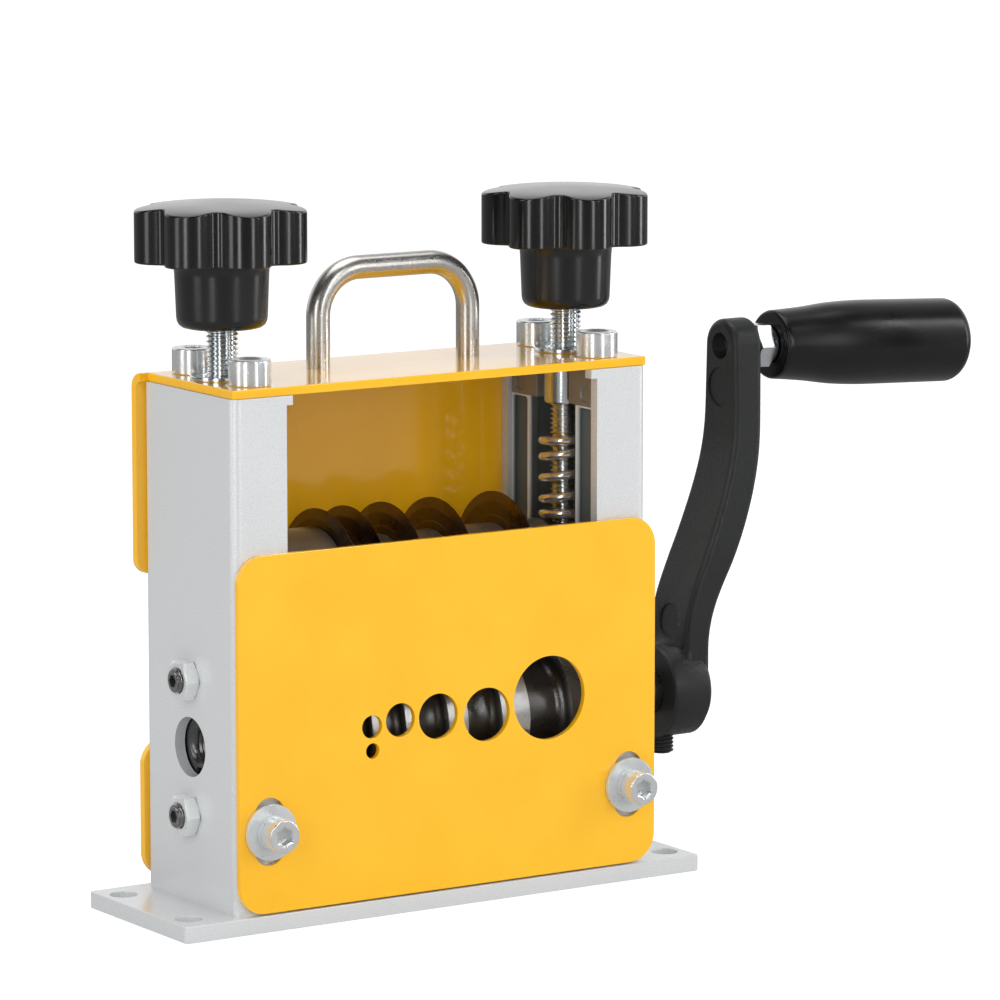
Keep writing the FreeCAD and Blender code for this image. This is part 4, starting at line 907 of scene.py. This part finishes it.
swell = [(0.1425, 0.0111), (0.154, 0.01195), (0.166, 0.0133), (0.18, 0.0138), (0.2115, 0.0137)]
slopes = ((0.06, 0.09), (0.09, 0.075), (0.075, 0), (0, 0))
curve_steps, grip_bore, grip_face, bore_end = 8, 0.0041, on_grip(0.1417), on_grip(0.206)
end_x, end_r, end_edge = 0.2115, 0.0097, 0.004
outline = [(bore_end, grip_bore), (grip_face, grip_bore), (grip_face, 0.0104), (on_grip(0.1425), 0.0111)]
for (x0, r0), (x1, r1), (before, after) in zip(swell[:-1], swell[1:], slopes):
    for step in range(1, curve_steps + 1):
        t = step / curve_steps
        gap = x1 - x0
        blend = (2 * t ** 3 - 3 * t ** 2 + 1) * r0 + (t ** 3 - 2 * t ** 2 + t) * gap * before
        blend += (3 * t ** 2 - 2 * t ** 3) * r1 + (t ** 3 - t ** 2) * gap * after
        outline.append((on_grip(x0 + gap * t), blend))
for step in range(1, curve_steps + 1):
    turn = math.radians(90 * step / curve_steps)
    outline.append((on_grip(end_x + end_edge * math.sin(turn)), end_r + end_edge * math.cos(turn)))
outline += [(on_grip(0.2155), 0), (bore_end, 0)]
black_moulded, shader = start_material("black_moulded", 0.0, 0.4)
grain = place_group(black_moulded, coat_grain, Wave_size=500.0, Speck_size=2600.0)
mixed_colour(black_moulded, shader, grain.outputs["Clouds"], (0.002, 0.002, 0.0022), (0.004, 0.004, 0.0042))
ranged_roughness(black_moulded, shader, grain.outputs["Clouds"], 0.22, 0.34)
relief(black_moulded, shader, grain.outputs["Height"], 0.12, 0.0001)
fit(turned("turning_grip", outline, grip_root, grip_axis, 0.0003), "crank_grip", black_moulded)

nut_start, nut_thick = on_grip(0.1334), 0.0065
nut = hex_nut_mesh("locking_nut", 0.0134, nut_thick, 0.00405, grip_root + grip_axis * nut_start, grip_axis)
nut_zinc = turned_metal("nut_zinc", grip_root, grip_axis, zinc_low, zinc_high, 0.22)
fit(joined("locking_nut", [nut], flat_sided), "grip_lock_nut", nut_zinc)
start, shoulder, end = on_grip(0.1269), nut_start + nut_thick, on_grip(0.205)
spindle_r, collar_r, collar_end = 0.004, 0.0062, shoulder + 0.0012
spindle = [(start, 0), (start, spindle_r), (shoulder, spindle_r), (shoulder, collar_r), (collar_end, collar_r),
           (collar_end, spindle_r), (end, spindle_r), (end, 0)]
fit(turned("turning_spindle", spindle, grip_root, grip_axis, 0.0002), "grip_spindle", nut_zinc)

# ---- Floor, light and camera ----
# A white floor that keeps a faint shadow, a white room behind the machine that is dimmer towards the
# viewer, and large soft lamps.

floor_mesh = bpy.data.meshes.new("floor")
reach = 8
floor_mesh.from_pydata([(-reach, -reach, 0), (reach, -reach, 0), (reach, reach, 0), (-reach, reach, 0)], [],
                       [(0, 1, 2, 3)])
floor = add_piece("floor", floor_mesh)
floor.location.z = -0.0002
floor_white = bpy.data.materials.new("floor_white")
floor_white.use_nodes = True
tree = floor_white.node_tree
tree.nodes.clear()
matt = add_node(tree, "BsdfDiffuse", Color=(0.3, 0.3, 0.3, 1))
glow = add_node(tree, "Emission")
path = add_node(tree, "LightPath")
mirrored = add_node(tree, "MapRange", To_Min=0.58, To_Max=0.04)
tree.links.new(path.outputs["Is Glossy Ray"], mirrored.inputs["Value"])
bright = add_node(tree, "MapRange", To_Max=0.93)
tree.links.new(path.outputs["Is Camera Ray"], bright.inputs["Value"])
tree.links.new(mirrored.outputs["Result"], bright.inputs["To Min"])
tree.links.new(bright.outputs["Result"], glow.inputs["Strength"])
both = add_node(tree, "AddShader")
output = add_node(tree, "OutputMaterial")
tree.links.new(matt.outputs["BSDF"], both.inputs[0])
tree.links.new(glow.outputs["Emission"], both.inputs[1])
tree.links.new(both.outputs["Shader"], output.inputs["Surface"])
floor.data.materials.append(floor_white)

world = bpy.data.worlds.new("studio")
bpy.context.scene.world = world
world.use_nodes = True
tree = world.node_tree
tree.nodes.clear()
direction = add_node(tree, "TexCoord")
behind = add_node(tree, "VectorMath")
behind.operation = "DOT_PRODUCT"
behind.inputs[1].default_value = (0.547, 0.837, 0.0)
tree.links.new(direction.outputs["Generated"], behind.inputs[0])
room = add_node(tree, "MapRange", From_Min=0.1, From_Max=0.6, To_Min=0.08, To_Max=1.15)
room.interpolation_type = "SMOOTHSTEP"
tree.links.new(behind.outputs["Value"], room.inputs["Value"])
height = add_node(tree, "SeparateXYZ")
tree.links.new(direction.outputs["Generated"], height.inputs["Vector"])
ceiling = add_node(tree, "MapRange", From_Min=0.35, From_Max=0.85, To_Min=1.0, To_Max=0.24)
ceiling.interpolation_type = "SMOOTHSTEP"
tree.links.new(height.outputs["Z"], ceiling.inputs["Value"])
reflected = add_node(tree, "Math")
reflected.operation = "MULTIPLY"
tree.links.new(room.outputs["Result"], reflected.inputs[0])
tree.links.new(ceiling.outputs["Result"], reflected.inputs[1])
path = add_node(tree, "LightPath")
seen = add_node(tree, "Mix", A=0.6)
tree.links.new(path.outputs["Is Glossy Ray"], seen.inputs["Factor"])
tree.links.new(reflected.outputs["Value"], seen.inputs["B"])
shown = add_node(tree, "Mix", B=1.0)
tree.links.new(path.outputs["Is Camera Ray"], shown.inputs["Factor"])
tree.links.new(seen.outputs["Result"], shown.inputs["A"])
background = add_node(tree, "Background")
tree.links.new(shown.outputs["Result"], background.inputs["Strength"])
output = add_node(tree, "OutputWorld")
tree.links.new(background.outputs["Background"], output.inputs["Surface"])


def soft_lamp(name, place, target, width, height, power):
    lamp = bpy.data.lights.new(name, "AREA")
    lamp.shape = "RECTANGLE"
    lamp.size, lamp.size_y = width, height
    lamp.energy = power
    piece = bpy.data.objects.new(name, lamp)
    bpy.context.scene.collection.objects.link(piece)
    piece.location = place
    piece.rotation_euler = (Vector(target) - Vector(place)).to_track_quat("-Z", "Y").to_euler()


soft_lamp("left_panel", (-1.05, 0.03, 0.5), (0, 0, 0.3), 0.3, 1.0, 2.2)
soft_lamp("left_front_strip", (-0.88, -0.6, 0.5), (0, 0, 0.3), 0.2, 1.0, 3.0)
soft_lamp("front_strip", (0.05, -1.05, 0.5), (0, 0, 0.3), 0.16, 1.0, 2.3)
soft_lamp("front_right_strip", (0.48, -0.93, 0.42), (0, 0, 0.06), 0.12, 0.5, 1.1)
soft_lamp("right_strip", (0.98, -0.5, 0.5), (0, 0, 0.3), 0.16, 1.0, 3.6)
soft_lamp("overhead_softbox", (0.1, 0.1, 1.5), (0, 0, 0.1), 1.2, 1.2, 9.0)

camera = bpy.data.cameras.new("camera")
camera.lens = 204.3
camera.sensor_width = 36.0
camera_piece = bpy.data.objects.new("camera", camera)
bpy.context.scene.collection.objects.link(camera_piece)
camera_piece.location = (-0.9254, -1.47524, 0.39151)
down, turned_right = 8.753, 33.145
camera_piece.rotation_euler = (math.radians(90 - down), 0, math.radians(-turned_right))
bpy.context.scene.camera = camera_piece
bpy.context.scene.view_settings.view_transform = "Standard"
